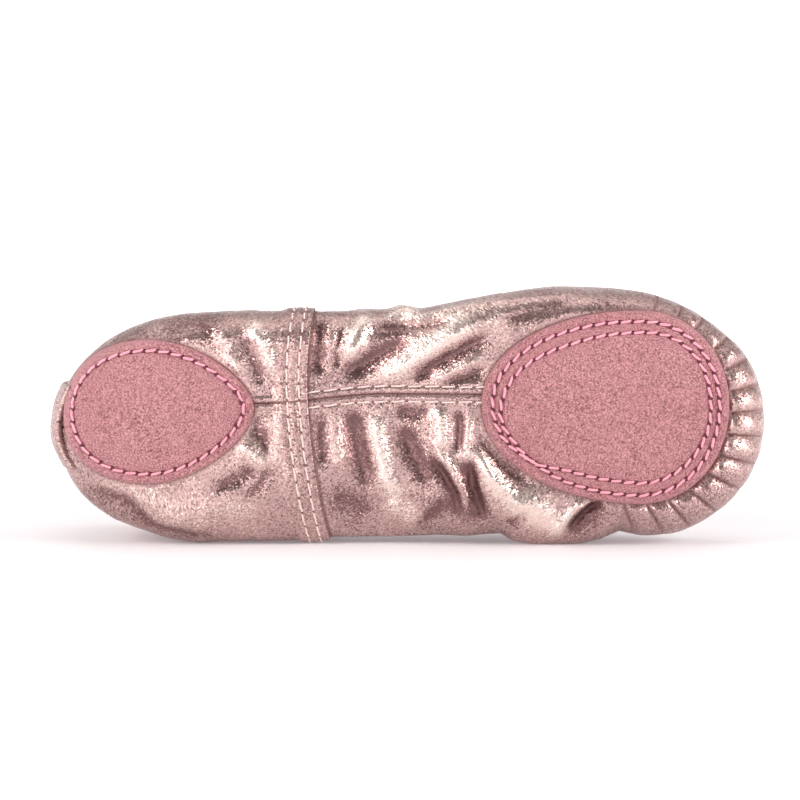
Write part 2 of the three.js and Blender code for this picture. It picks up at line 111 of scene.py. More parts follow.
# %% [markdown]
# ## The shape of the upper
# A slipper is drawn from its outline: the sole is flat, a round edge turns up from it, and the
# wall leans in to the topline. One function gives any point of that surface. `angle` goes round
# the outline from the heel, and `row` goes from the middle of the sole (0) to the round edge
# (1), the wall (2) and the topline (3). Every cloth layer is the same surface at its own depth.

# %% Curves that the pattern is drawn with
def lerp(a, b, t):
    return a + (b - a) * t


def ease(t):
    t = np.clip(t, 0, 1)
    return t * t * (3 - 2 * t)


def hump(t):
    return np.sin(np.pi * np.clip(t, 0, 1)) ** 2


def bell(distance, reach, sharpness=2):
    """1 on a line, falling away to 0 on both sides of it."""
    return np.exp(-((np.abs(distance) / reach) ** sharpness))


def bezier(a, b, c, d, t):
    return a * (1 - t) ** 3 + 3 * b * t * (1 - t) ** 2 + 3 * c * t**2 * (1 - t) + d * t**3


def unit(vectors):
    """The same directions, each one long."""
    return vectors / np.maximum(np.linalg.norm(vectors, axis=-1, keepdims=True), 1e-12)


print("a quarter of the way, an ease has gone", round(float(ease(0.25)), 3))


# %% The pattern's own sizes and outlines, in millimetres
heel_half_width, ball_half_width = 31.6, 34.8
widens_from, widens_over = 88, 48
toe_from = 146
heel_round_right, heel_round_left = 42.0, 66.0
arch_from, arch_length, arch_rise = 54, 60.6, 2.5
seam_z_at_heel, seam_z_at_ball = 38.1, 40.5
cross_seam_x, cross_seam_z = 67.7, 44.1
heel_top_x, throat_x = 4.5, 117
heel_top_y, side_top_y, throat_y = 44, 33, 37
opening_half_width, opening_bulge_left = 24, 10


def straight_half(x):
    return lerp(heel_half_width, ball_half_width, ease((x - widens_from) / widens_over))


def outline(angle):
    """The foot of the wall, in x and z."""
    x = sole_length / 2 * (1 - np.cos(angle))
    side = np.where(np.sin(angle) < 0, -1.0, 1.0)
    heel_round = np.where(side < 0, heel_round_left, heel_round_right)
    heel = np.maximum(0, (heel_round - x) / heel_round)
    toe = np.maximum(0, (x - toe_from) / (sole_length - toe_from))
    rounding = np.sqrt(np.maximum(0, 1 - heel**2)) * np.sqrt(np.maximum(0, 1 - toe**2))
    return np.stack([x, straight_half(x) - 1 + side * straight_half(x) * rounding], -1)


def arch_height(x):
    return arch_rise * hump((x - arch_from) / arch_length)


def seam_line(x):
    """The z of the seam along the middle of the sole."""
    under_heel = lerp(straight_half(x), seam_z_at_heel, ease(x / arch_from))
    under_arch = lerp(seam_z_at_heel, seam_z_at_ball, ease((x - arch_from) / 36.4))
    return np.where(x < arch_from, under_heel, under_arch)


def cross_seam(z):
    """The x of the seam across the sole. It bows towards the toe at both sides."""
    right = np.clip((z - cross_seam_z) / 19.1, 0, 1)
    left = np.clip((cross_seam_z - z) / cross_seam_z, 0, 1)
    return cross_seam_x + 1.9 * right**2 + 5.7 * left**1.8


print("the ball is", round(float(2 * straight_half(136.0)), 1), "mm wide and the arch rises",
      arch_rise, "mm")


# %% The surface
def topline_share(angle):
    """How far along the topline a point is: 0 at the heel, 1 at the throat."""
    q = (1 - np.cos(angle)) / 2
    return (q**3 - 2 * q**2 + q) * 1.6 + (3 * q**2 - 2 * q**3) + (q**3 - q**2) * 0.35
def upper(angle, row):
    angle, row = np.broadcast_arrays(np.asarray(angle, float), np.asarray(row, float))
    side = np.where(np.sin(angle) < 0, -1.0, 1.0)
    foot = outline(angle)
    along = unit(outline(angle + 1e-3) - outline(angle - 1e-3))
    inward = np.stack([along[..., 1], -along[..., 0]], -1)
    x = foot[..., 0]
    waist = hump((x - 42) / 84.6)
    from_toe = (sole_length - x) / (sole_length - toe_from)
    along_side = ease(1.3 * np.minimum(x / heel_round_right, from_toe))
    straight = np.where(side > 0, 7 + 3 * waist, 16 + 10 * waist)
    width = lerp(np.where(x < 95, 6.0, 10.0), straight, along_side)
    rise = lerp(np.where(x < 95, 11.0, 10.0), 12.0, along_side)
    edge = foot + inward * width[..., None]
    middle_x = lerp(24.7, 154, (1 - np.cos(angle)) / 2)
    middle = np.stack([middle_x, seam_line(middle_x)], -1)
    flat = lerp(middle, edge, np.clip(row, 0, 1)[..., None])
    turn = np.clip(row - 1, 0, 1) * math.pi / 2
    rounded = edge - inward * (width * np.sin(turn))[..., None]
    rounded_y = lerp(arch_height(edge[..., 0]), rise, 1 - np.cos(turn))
    # The topline: along the foot, up from the floor side, and at its own height above the sole.
    share = topline_share(angle)
    top_x = lerp(heel_top_x, throat_x, share)
    half = opening_half_width * np.sqrt(np.maximum(0, 1 - np.abs(2 * share - 1) ** 2.6))
    bulge = opening_bulge_left * np.sin(np.pi * np.clip(share / 0.5, 0, 1))
    half = half + np.where(side < 0, bulge, 0)
    top_y = lerp(heel_top_y, side_top_y, ease(share / 0.5))
    top_y = lerp(top_y, throat_y, ease((share - 0.55) / 0.45))
    top_z = np.maximum(1.5, straight_half(top_x) - 1 + side * half)
    top = np.stack([top_x, top_y, top_z], -1)
    # The wall: a curve from the round edge to the topline, fuller over the toe.
    base = np.stack([x, rise, foot[..., 1]], -1)
    over_toe = ease((x / sole_length - 0.55) / 0.45)
    height = top_y - rise
    low = base.copy()
    low[..., 1] += height * lerp(0.5, 0.42, over_toe)
    high = lerp(top, base, 0.42)
    high[..., 1] = top_y - height * lerp(0.35, 0.12, over_toe)
    wall = bezier(base, low, high, top, np.clip(row - 2, 0, 1)[..., None])
    sole = np.stack([flat[..., 0], arch_height(flat[..., 0]), flat[..., 1]], -1)
    edge_turn = np.stack([rounded[..., 0], rounded_y, rounded[..., 1]], -1)
    made = np.where((row <= 1)[..., None], sole, np.where((row <= 2)[..., None], edge_turn, wall))
    made[..., 2] = np.maximum(made[..., 2], 0)
    return made


def outward(angle, row):
    step = 2e-3
    row = np.clip(row, 0.02, 2.997)
    around = upper(angle + step, row) - upper(angle - step, row)
    up = upper(angle, row + step) - upper(angle, row - step)
    return unit(np.cross(around, up))


def seam_angle(row, side, behind_by=0.0):
    """The angle at which a row of the upper meets the cross seam, or a line behind it."""
    low, high = np.full(row.shape, 0.3), np.full(row.shape, 2.8)
    for _ in range(40):
        middle = (low + high) / 2
        p = upper(middle if side > 0 else 2 * math.pi - middle, row)
        behind = p[..., 0] < cross_seam(p[..., 2]) - behind_by
        low, high = np.where(behind, middle, low), np.where(behind, high, middle)
    return (low + high) / 2


print("topline corner at", np.round(upper(0.0, 3.0), 1), "mm")

# %% [markdown]
# ## The outlines of the two patches
# Each patch is an egg: two long curves meet at its widest place. The inset draws the same egg
# smaller, which is where the stitches run.

# %% Egg outlines
eggs = {
    "forefoot": dict(x=114.4, z=37.0, length=65.7, width=51.5, widest=0.645, tilt=-1.9,
                     way=1, narrow=(0.52, 0.6), broad=(0.552, 0.58)),
    "heel": dict(x=3.2, z=35.9, length=50.8, width=38.3, widest=0.553, tilt=2.5,
                 way=-1, narrow=(0.5, 0.35), broad=(0.6, 0.6)),
}


def egg(name, inset=0.0, steps=60):
    """The closed outline of a patch, in x and z, drawn in by an inset."""
    e = eggs[name]
    half = e["width"] / 2 - inset
    narrow = e["widest"] * e["length"] - inset
    broad = (1 - e["widest"]) * e["length"] - inset
    wide_x = e["x"] + (e["widest"] if e["way"] > 0 else 1 - e["widest"]) * e["length"]
    t = np.linspace(0, 1, steps, endpoint=False)[:, None]
    quarters = []
    for u, v, (across, up), to_tip in (
        (broad, half, e["broad"], True), (broad, -half, e["broad"], False),
        (-narrow, -half, e["narrow"], True), (-narrow, half, e["narrow"], False),
    ):
        corners = np.array([[0, v], [u * across, v], [u, v * up], [u, 0]], float)
        a, b, c, d = corners if to_tip else corners[::-1]
        quarters.append(bezier(a, b, c, d, t))
    points = np.concatenate(quarters)
    turn = math.radians(e["tilt"])
    along = points[:, 0] * e["way"]
    x = wide_x + along * math.cos(turn) - points[:, 1] * math.sin(turn)
    z = e["z"] + along * math.sin(turn) + points[:, 1] * math.cos(turn)
    return np.stack([x, z], -1)


def travel_along(points, power=1.0):
    """How far along a line each of its points lies."""
    steps = np.linalg.norm(np.diff(points, axis=0), axis=-1) ** power
    return np.concatenate([[0], np.cumsum(steps)])


def near_line(spots, line, closed=False):
    """For each spot: its distance to a line, signed by side, and its share of the way along."""
    line = np.asarray(line, float)
    if closed:
        line = np.vstack([line, line[:1]])
    best = np.full(len(spots), 1e9)
    signed, along = np.zeros(len(spots)), np.zeros(len(spots))
    lengths = np.linalg.norm(np.diff(line, axis=0), axis=1)
    starts = travel_along(line)
    for a, b, length, start in zip(line, line[1:], lengths, starts):
        d = (b - a) / max(length, 1e-9)
        t = np.clip((spots - a) @ d, 0, length)
        off = spots - a - t[:, None] * d
        distance = np.hypot(off[:, 0], off[:, 1])
        closer = distance < best
        best = np.where(closer, distance, best)
        left = np.where(d[0] * off[:, 1] - d[1] * off[:, 0] >= 0, 1.0, -1.0)
        signed = np.where(closer, distance * left, signed)
        along = np.where(closer, (start + t) / starts[-1], along)
    return signed, along


def inside_egg(spots, name):
    """How far inside a patch's outline each spot is. It is negative outside."""
    line = egg(name, 0, 24)
    ahead = np.roll(line, -1, 0)
    turns_left = np.sum(line[:, 0] * ahead[:, 1] - line[:, 1] * ahead[:, 0]) > 0
    signed, _ = near_line(spots, line if turns_left else line[::-1], closed=True)
    return signed


print("forefoot egg", np.round(np.ptp(egg("forefoot"), axis=0), 1), "mm")

# %% [markdown]
# ## Folds and gathers
# Thin cloth never lies smooth. The seams pull it, the toe is gathered in small pleats under the
# patch, and the arch buckles because nothing stiff holds it. Each fold here is a line across
# the sole with a height and a reach on either side. A short reach gives a sharp lap, and a
# long one gives a soft roll. A table of folds keeps the shape of the cloth readable.

# %% Lines that a fold shares with the painted shade inside it, as points (x, z)
heel_flare = [(5.5, 17.5), (13, 15.5), (20.8, 13), (27, 8.5), (37.4, 5.6), (45, 2.4)]
front_lap = [(111, 24.5), (112.4, 15), (115.4, 5)]
rear_lap = [(100, 24.8), (104, 19), (107, 13.6), (108.4, 6)]
forefoot_tuck = [(147.5, 12.5), (142.5, 8.5), (138, 3)]

# %% The folds, in millimetres: points (x, z), height, reach to the left, to the right, sharpness
folds = [
    # Heel half, above and below the seam.
    ([(52.6, 61.5), (55.5, 56), (60.5, 44)], 1.3, 2.2, 3.0, 1.8),
    ([(50.5, 58), (54, 50), (57, 42)], -0.9, 2.2, 1.8, 1.8),
    ([(44, 58), (47.5, 51), (51.5, 45)], 0.8, 2.6, 2.2, 2.0),
    ([(38, 60.5), (44, 55), (49, 50)], -0.5, 2.0, 2.0, 2.0),
    ([(63.5, 62), (63.8, 52), (63.5, 43)], -0.45, 1.4, 1.6, 1.8),
    ([(51.5, 36), (56, 30), (58, 24)], -0.8, 2.2, 2.2, 1.8),
    ([(60, 36), (60.5, 29), (60, 20)], 0.6, 2.0, 2.2, 2.0),
    ([(49, 27.5), (54, 25), (57, 20)], 0.8, 2.6, 2.6, 2.0),
    ([(42, 15.5), (49, 18), (55.5, 21)], -0.8, 1.6, 1.8, 1.6),
    ([(50, 11.5), (55, 15.5), (58.5, 22)], -0.6, 1.2, 1.6, 1.4),
    ([(36, 12), (46, 11), (56, 8)], 0.5, 3.0, 3.5, 2.0),
    ([(28, 57), (38, 60.5), (48, 62)], -0.5, 2.2, 2.4, 2.0),
    # Arch, above the seam.
    ([(71.5, 61.5), (71.3, 52), (70.8, 44.5)], -1.1, 1.9, 2.1, 1.8),
    ([(75.6, 61), (74.4, 52), (74, 46)], 0.5, 1.2, 1.2, 2.0),
    ([(77.8, 59), (76.2, 52), (75.6, 46.5)], -0.9, 1.2, 1.8, 1.8),
    ([(85, 62.5), (81.9, 56.3), (78.5, 48)], 1.7, 2.2, 3.2, 1.8),
    ([(76.5, 44.8), (86, 50), (96.5, 56.2)], -1.4, 2.6, 2.4, 1.7),
    ([(85, 43.3), (99, 51.5), (115, 61.2)], 1.3, 3.0, 3.2, 2.0),
    ([(94, 43.4), (104, 49.6), (117.5, 57)], -1.3, 2.0, 2.4, 1.6),
    ([(100, 43.5), (108, 47.5), (116, 51.5)], 0.8, 1.8, 2.0, 1.8),
    ([(103, 42.8), (110, 44.8), (116, 47.5)], -0.9, 1.6, 1.6, 1.6),
    ([(86, 64.8), (92, 62.2), (99, 60.4), (108, 62.4), (127, 65.8)], 1.6, 1.0, 4.2, 1.3),
    ([(88, 59.4), (93, 61.5), (98.5, 61.8)], 1.0, 1.2, 1.4, 1.6),
    ([(86, 57.6), (92, 58.6), (99, 58.4), (108, 60.2)], -1.3, 1.5, 1.7, 1.5),
    ([(118, 60), (128, 62.6), (140, 65.2)], -0.8, 1.5, 2.0, 1.8),
    ([(117, 63.5), (130, 66), (144, 67.4)], 0.3, 2.0, 2.4, 2.0),
    # Arch, below the seam.
    ([(72, 36), (71.6, 29), (72.5, 20)], -0.9, 2.2, 2.0, 1.8),
    ([(76, 37), (75.4, 28), (76, 19)], 0.6, 1.6, 1.8, 2.0),
    ([(79.6, 37.5), (80.8, 28), (84.5, 14)], -1.6, 2.8, 2.4, 2.0),
    ([(91, 36.5), (96.5, 35), (101, 36)], -0.7, 2.0, 1.8, 2.0),
    ([(87.4, 37.5), (86.6, 29), (89, 18), (94, 11)], 1.6, 2.4, 2.6, 1.8),
    ([(93, 33), (95.5, 26), (100.5, 15.5)], -1.3, 2.7, 2.3, 1.8),
    ([(103.2, 38), (103.6, 31), (104, 24.5)], 1.3, 2.2, 2.0, 1.8),
    (rear_lap, -2.1, 2.6, 1.2, 1.3),
    ([(101.5, 27), (106.5, 20.5), (110, 13.5), (111, 7)], 1.6, 1.3, 2.2, 1.6),
    ([(108.4, 37), (108.6, 30), (108, 24)], -1.3, 1.4, 1.6, 1.7),
    ([(111.6, 36), (110.4, 27), (110.8, 21)], 1.1, 1.1, 1.8, 1.7),
    (front_lap, -2.6, 1.4, 2.4, 1.2),
    ([(112, 28), (117, 18.5), (125, 10.5), (134, 4)], 1.9, 2.2, 3.4, 1.6),
    ([(112.5, 30), (119, 22.5), (128, 17)], -0.9, 1.8, 2.0, 1.8),
    ([(73, 12), (79.5, 10.5), (85, 5)], -1.7, 4.2, 4.2, 2.0),
    ([(88, 12), (95, 8), (99, 3)], 0.9, 2.6, 2.8, 2.0),
    ([(95.5, 3), (103, 9.5), (104.5, 14)], -0.8, 1.8, 2.0, 1.8),
    # The floor side of the heel, where the wall flares out behind the sole's edge.
    (heel_flare, -0.5, 1.2, 1.2, 1.5),
    ([(9, 20), (19, 17), (29, 12.5), (42, 8.5)], 0.7, 2.6, 2.2, 1.8),
    # Under the forefoot patch, towards the floor.
    ([(123, 14.5), (131, 9), (137.5, 2.5)], 1.5, 3.2, 2.4, 1.8),
    (forefoot_tuck, -2.8, 1.4, 1.6, 1.1),
    ([(144, 13), (139, 9.5), (133, 4)], 1.5, 1.8, 1.6, 1.7),
    ([(121, 4), (126, 8.5), (129, 12)], -0.8, 1.6, 1.6, 1.8),
]

# Painted shade where two layers meet or a fold shuts: line, width and how dark it gets.
deep_lines = [
    (heel_flare, 0.7, 0.5),
    (front_lap, 0.8, 0.55),
    (rear_lap, 0.9, 0.45),
    (forefoot_tuck, 0.7, 0.75),
    ([(86, 58.2), (92, 59.6), (99, 59.2), (108, 61)], 0.6, 0.35),
]

# The pleats round the toe, by their direction from the middle of its curve, in degrees.
toe_middle = np.array([146.0, 33.8])
pleat_angles = [-92, -74, -61, -49.5, -38, -26.5, -16.5, -6.5, 2.8, 12, 21.6, 31.8, 43.5, 53, 64]
pleat_puff = [0.3, 1.0, 1.2, 0.9, 1.2, 1.05, 1.2, 0.95, 1.15, 1.0, 1.2, 0.9, 1.15, 0.5]
def ripple(points, size, seed):
    """A soft random height, about -1 to 1, whose bumps are about one size across."""
    dice = np.random.default_rng(seed)
    total = np.zeros(len(points))
    for _ in range(9):
        way = dice.normal(size=3)
        way *= 2 * math.pi / (np.linalg.norm(way) * size * dice.uniform(0.7, 1.6))
        total += np.sin(points @ way + dice.uniform(0, 6.28))
    return total / 3


print(len(folds), "folds and", len(pleat_angles), "pleats")


# %% Where folds fade
def taper(along, end):
    """0 at both ends of a line, 1 between them."""
    return ease(np.minimum(along, 1 - along) / end)


def clear_of_patches(spots, start, reach):
    """1 on free cloth, fading to 0 where a patch holds the cloth down."""
    clear = np.ones(len(spots))
    for name in eggs:
        clear *= ease(start - inside_egg(spots, name) / reach)
    return clear


def round_toe(spots):
    """Each spot's direction from the middle of the toe's curve, in degrees, and its distance."""
    away = spots - toe_middle
    return np.degrees(np.arctan2(away[:, 1], away[:, 0])), np.hypot(away[:, 0], away[:, 1])


# %% The height of the cloth
def fold_sum(spots, end, least, spread, broad_share):
    """All the folds added up. Their ends taper to the least share, and broad ones count less."""
    total = np.zeros(len(spots))
    for line, height, left, right, sharp in folds:
        signed, along = near_line(spots, line)
        reach = spread * np.where(signed > 0, left, right)
        share = broad_share if left > 3.5 else 1.0
        total += share * height * lerp(least, 1.0, taper(along, end)) * bell(signed, reach, sharp)
    return total


def pleat_height(points):
    """The gathers round the toe. They are full beside the patch and fade up the wall."""
    spots = points[:, [0, 2]]
    degrees, _ = round_toe(spots)
    pleats = np.zeros(len(points))
    for a, b, puff in zip(pleat_angles, pleat_angles[1:], pleat_puff):
        t = (degrees - a) / (b - a)
        roll = np.sin(np.pi * np.clip(t, 0, 1) ** 0.8)
        pleats = np.where((t >= 0) & (t < 1), puff * (1.7 * roll**0.55 - 1.2), pleats)
    beside_patch = ease(-inside_egg(spots, "forefoot") / 1.2)
    grip = beside_patch * lerp(1.0, 0.12, ease((points[:, 1] - 3.5) / 5))
    grip *= (1 - ease((points[:, 1] - 12) / 14)) * ease((points[:, 0] - 128) / 22)
    return pleats * grip


def fold_height(points):
    """How far the cloth stands off the pattern at each point, in millimetres."""
    spots = points[:, [0, 2]]
    total = fold_sum(spots, end=0.3, least=0.15, spread=1.0, broad_share=1.0)
    total += 0.20 * ripple(points, 17, 3) + 0.05 * ripple(points, 7, 4)
    # Folds fade up the wall and towards the toe, which is full instead.
    total *= 1 - 0.75 * ease((points[:, 1] - 12) / 16)
    total *= 1 - 0.8 * ease((points[:, 0] - 150) / 16)
    full = lerp(2.0, 0.9, ease((points[:, 2] - 12) / 26)) * ease((points[:, 0] - 146) / 22)
    full *= 1 - 0.9 * ease((points[:, 2] - 50) / 9)
    total += full * (1 - ease((points[:, 1] - 18) / 14))
    return total * clear_of_patches(spots, 0.25, 3.0) + pleat_height(points)


# %% Its painted light and shade
def fold_light_and_shade(points):
    """Below 0 in the hollows of the folds, above 0 on their crests. The cloth paints shade and
    highlights from it.
    """
    spots = points[:, [0, 2]]
    total = fold_sum(spots, end=0.24, least=0.0, spread=0.95, broad_share=0.3)
    total *= 1 - 0.75 * ease((points[:, 2] - 59) / 4)
    total *= clear_of_patches(spots, 0.15, 2.5)
    return np.clip(total, -1.3, 1.3) * (1 - ease((points[:, 1] - 12) / 8))


def crease_shade(points):
    """Where the cloth turns in so far that little light gets back out."""
    spots = points[:, [0, 2]]
    on_sole = points[:, 1] < 14
    degrees, reach = round_toe(spots)
    free = -inside_egg(spots, "forefoot")
    shade = np.zeros(len(points))
    for angle in pleat_angles:
        shade = np.maximum(shade, bell(np.radians(degrees - angle) * reach, 0.45))
    shade *= ease(free / 0.5) * (1 - ease((free - 5) / 8)) * (points[:, 0] > 132) * on_sole
    for name in eggs:
        out = -inside_egg(spots, name)
        at_edge = (out > -1.5) & (points[:, 1] < 12)
        shade = np.maximum(shade, 0.75 * np.where(at_edge, bell(np.maximum(out, 0), 0.55), 0))
    for line, width, depth in deep_lines:
        off, along = near_line(spots, line)
        shade = np.maximum(shade, depth * taper(along, 0.3) * bell(off, width) * on_sole)
    return shade


sole_spots = np.array([(x, 0.0, z) for x in range(60, 140) for z in range(10, 60)], float)
on_the_sole = fold_height(sole_spots)
print("folds on the sole reach from", round(float(on_the_sole.min()), 2),
      "to", round(float(on_the_sole.max()), 2), "mm")

# %% [markdown]
# ## Finishes as expressions
# A finish is a small network of nodes. Written as sums and products it reads like the recipe
# that it is: a wrapped socket adds its own Math nodes, and one method makes any other node.
# Metallic cloth is a weave of flat, foil-covered threads. Each thread end mirrors the studio at
# its own slight tilt, which gives the gritty sparkle, so each fleck turns the normal a little.

# %% Numbers that add their own nodes
class Amount:
    """A number socket that Python's operators work on."""

    def __init__(self, network, socket):
        self.network, self.socket = network, socket

    def maths(self, operation, *others, clamp=False):
        settings = dict(operation=operation, use_clamp=clamp)
        return self.network.amount(self.network.node("ShaderNodeMath", settings, self, *others))

    def __add__(self, other):
        return self.maths("ADD", other)

    def __sub__(self, other):
        return self.maths("SUBTRACT", other)

    def __mul__(self, other):
        return self.maths("MULTIPLY", other)

    def __truediv__(self, other):
        return self.maths("DIVIDE", other)


    def __rsub__(self, other):
        return (self * -1) + other

    __radd__, __rmul__ = __add__, __mul__

    def within(self, low, high):
        """0 at low, 1 at high, and clamped."""
        return ((self - low) / (high - low)).maths("MULTIPLY", 1.0, clamp=True)


# %% Any other node
class Network:
    """A tree of nodes: a finish, the stitch maker or the light of the room."""

    def __init__(self, tree):
        self.tree = tree

    def plug(self, socket, value):
        """Links another node to a socket, or gives the socket a value of its own."""
        value = value.socket if isinstance(value, Amount) else value
        if isinstance(value, bpy.types.NodeSocket):
            self.tree.links.new(value, socket)
        else:
            socket.default_value = (*value, 1) if socket.type == "RGBA" else value

    def node(self, kind, settings=None, *inputs, **named):
        made = self.tree.nodes.new(kind)
        for key, value in (settings or {}).items():
            if key == "stops":
                elements = made.color_ramp.elements
                while len(elements) < len(value):
                    elements.new(0.5)
                for element, (place, colour) in zip(elements, value):
                    element.position, element.color = place, (*colour, 1)
            else:
                setattr(made, key, value)
        for socket, value in zip(made.inputs, inputs):
            self.plug(socket, value)
        for name, value in named.items():
            self.plug(made.inputs[name.replace("_", " ")], value)
        return made

    def amount(self, node, output=0):
        return Amount(self, node.outputs[output])

    def mix(self, share, a, b, blend="MIX"):
        made = self.node("ShaderNodeMix", dict(data_type="RGBA", blend_type=blend), Factor=share)
        self.plug(made.inputs[6], a)
        self.plug(made.inputs[7], b)
        return made.outputs[2]


# %% A finish
class Finish(Network):
    """A material for one of the slipper's pieces."""

    def __init__(self, name, **constants):
        self.material = bpy.data.materials.new(name)
        self.material.use_nodes = True
        super().__init__(self.material.node_tree)
        self.shader = self.tree.nodes["Principled BSDF"]
        self.set(**constants)

    def place(self):
        return self.node("ShaderNodeTexCoord").outputs["Object"]

    def noise(self, place, scale, detail=2.0, rough=0.5):
        return self.amount(self.node("ShaderNodeTexNoise", None, Vector=place, Scale=scale,
                                     Detail=detail, Roughness=rough), "Fac")

    def attribute(self, name):
        return self.amount(self.node("ShaderNodeAttribute", dict(attribute_name=name)), "Fac")

    def vectors(self, operation, *inputs):
        return self.node("ShaderNodeVectorMath", dict(operation=operation), *inputs).outputs[0]

    def bump(self, height, distance, strength=1.0, below=None):
        extra = dict(Normal=below) if below is not None else {}
        return self.node("ShaderNodeBump", None, Height=height, Distance=distance,
                         Strength=strength, **extra).outputs[0]

    def set(self, **sockets):
        for name, value in sockets.items():
            self.plug(self.shader.inputs[name.replace("_", " ")], value)
        return self.material


# %% Metallic cloth
def metallic_cloth(name, light, deep, tilt):
    cloth = Finish(name, IOR=1.5)
    place = cloth.place()
    pattern = cloth.node("ShaderNodeUVMap", dict(uv_map="cloth")).outputs[0]
    woven = cloth.node("ShaderNodeMapping", None, Vector=pattern, Rotation=(0, 0, math.radians(38)))
    flecks = cloth.node("ShaderNodeTexVoronoi", None, Vector=woven.outputs[0], Scale=2700.0,
                        Randomness=0.75).outputs["Color"]
    channels = cloth.node("ShaderNodeSeparateColor", None, flecks)
    each, glint = cloth.amount(channels, 0), cloth.amount(channels, 1)
    clouds = cloth.noise(place, 60.0, 2.0)
    fine = cloth.noise(place, 500.0, 3.0, 0.6)
    crumple = cloth.bump(cloth.noise(place, 130.0, 3.0, 0.5), 0.0005, 0.3)
    weave = cloth.bump(fine, 0.00025, 0.3, crumple)
    spread = cloth.vectors("SUBTRACT", flecks, (0.5, 0.5, 0.5))
    scaled = cloth.node("ShaderNodeVectorMath", dict(operation="SCALE"), spread,
                        Scale=tilt * (0.55 + clouds * 0.9)).outputs[0]
    tilted = cloth.vectors("NORMALIZE", cloth.vectors("ADD", weave, scaled))
    shade = cloth.attribute("shade")
    thread = cloth.mix(each.within(0.1, 0.9), deep, light)
    thread = cloth.mix(glint.within(0.9, 0.97) * 0.6, thread, (0.85, 0.68, 0.6))
    fold = cloth.attribute("fold")
    # Painted shade darkens the flecks in the folds' hollows, and a painted highlight lightens them on
    # the crests.
    painted_hollow_shade = (each * 1.2 + clouds * 0.6 - fold * 1.3 - 1.2).within(0, 0.25)
    painted_crest_highlight = (glint * 1.2 + fold - 1.15).within(0, 0.35)
    thread = cloth.mix(painted_hollow_shade * 0.88, thread, (0.14, 0.068, 0.07))
    thread = cloth.mix(painted_crest_highlight * 0.6, thread, (1.0, 0.86, 0.78))
    # Painted shade from the shade attribute: creases, pleats, seam grooves, patch edges and the
    # quarters' lip.
    painted_shade_colour = cloth.mix(shade * 0.9, thread, (0.13, 0.04, 0.037))
    rough = 0.22 + each * 0.12 + shade * 0.3 + fine * 0.05
    metal = 0.86 - shade * 0.7
    return cloth.set(Base_Color=painted_shade_colour, Roughness=rough, Metallic=metal, Normal=tilted)


rose_cloth = metallic_cloth("rose_metallic_cloth", (0.66, 0.462, 0.433), (0.37, 0.23, 0.226), 0.36)
print("metallic cloth has", len(rose_cloth.node_tree.nodes), "nodes")

# %% [markdown]
# ## Suede, cotton, thread and elastic
# Suede is leather with its fibres raised. It scatters light softly, shows a short nap that is
# darker where it was brushed the other way, and has a faint sheen at glancing angles.

# %% Suede
def brushed_suede(name):
    suede = Finish(name, Roughness=0.92, Sheen_Weight=0.35, Sheen_Roughness=0.5,
                   Sheen_Tint=(1.0, 0.72, 0.76), Specular_IOR_Level=0.15)
    place = suede.place()
    nap = suede.noise(place, 2300.0, 3.0, 0.75)
    brushed = suede.noise(place, 260.0, 4.0, 0.7)
    patches = suede.noise(place, 55.0, 3.0, 0.6)
    colour = suede.mix(nap.within(0.36, 0.66), (0.14, 0.045, 0.053), (0.72, 0.36, 0.38))
    colour = suede.mix(brushed.within(0.38, 0.68) * 0.22, colour, (0.60, 0.30, 0.31))
    colour = suede.mix(patches.within(0.45, 0.75) * 0.28, colour, (0.36, 0.135, 0.15))
    specks = suede.noise(place, 1300.0, 2.0, 0.5)
    colour = suede.mix(specks.within(0.6, 0.72) * 0.45, colour, (0.20, 0.06, 0.065))
    # Painted shade on the patch's rounded edge and in its stitch channels.
    rim = suede.attribute("shade")
    colour = suede.mix(rim * 0.4, colour, (0.42, 0.12, 0.16))
    height = nap * 0.6 + brushed * 0.8
    return suede.set(Base_Color=colour, Normal=suede.bump(height, 0.00055, 0.8))


pink_suede = brushed_suede("pink_brushed_suede")
print("suede has", len(pink_suede.node_tree.nodes), "nodes")


# %% Thread
def spun_thread(name, light, dark, sheen):
    thread = Finish(name, Roughness=0.5, Sheen_Weight=sheen, Specular_IOR_Level=0.4)
    place = thread.place()
    ply = thread.noise(place, 2600.0, 2.0)
    slow = thread.noise(place, 180.0, 2.0)
    colour = thread.mix(ply.within(0.3, 0.7), dark, light)
    colour = thread.mix(slow.within(0.4, 0.7) * 0.35, colour, dark)
    return thread.set(Base_Color=colour, Normal=thread.bump(ply, 0.0003, 0.6))


pink_thread = spun_thread("pink_thread", (1.0, 0.46, 0.55), (0.80, 0.28, 0.37), 0.3)
pale_thread = spun_thread("pale_thread", (0.92, 0.78, 0.73), (0.72, 0.52, 0.49), 0.2)
# The needle holes are dark dimples, coloured as painted shade.
suede_hole_shade = spun_thread("needle_hole_shade", (0.16, 0.02, 0.04), (0.07, 0.01, 0.02), 0.0)
cloth_hole_shade = spun_thread("cloth_needle_hole_shade", (0.25, 0.1, 0.09), (0.12, 0.04, 0.04), 0.0)
print("thread has", len(pink_thread.node_tree.nodes), "nodes")


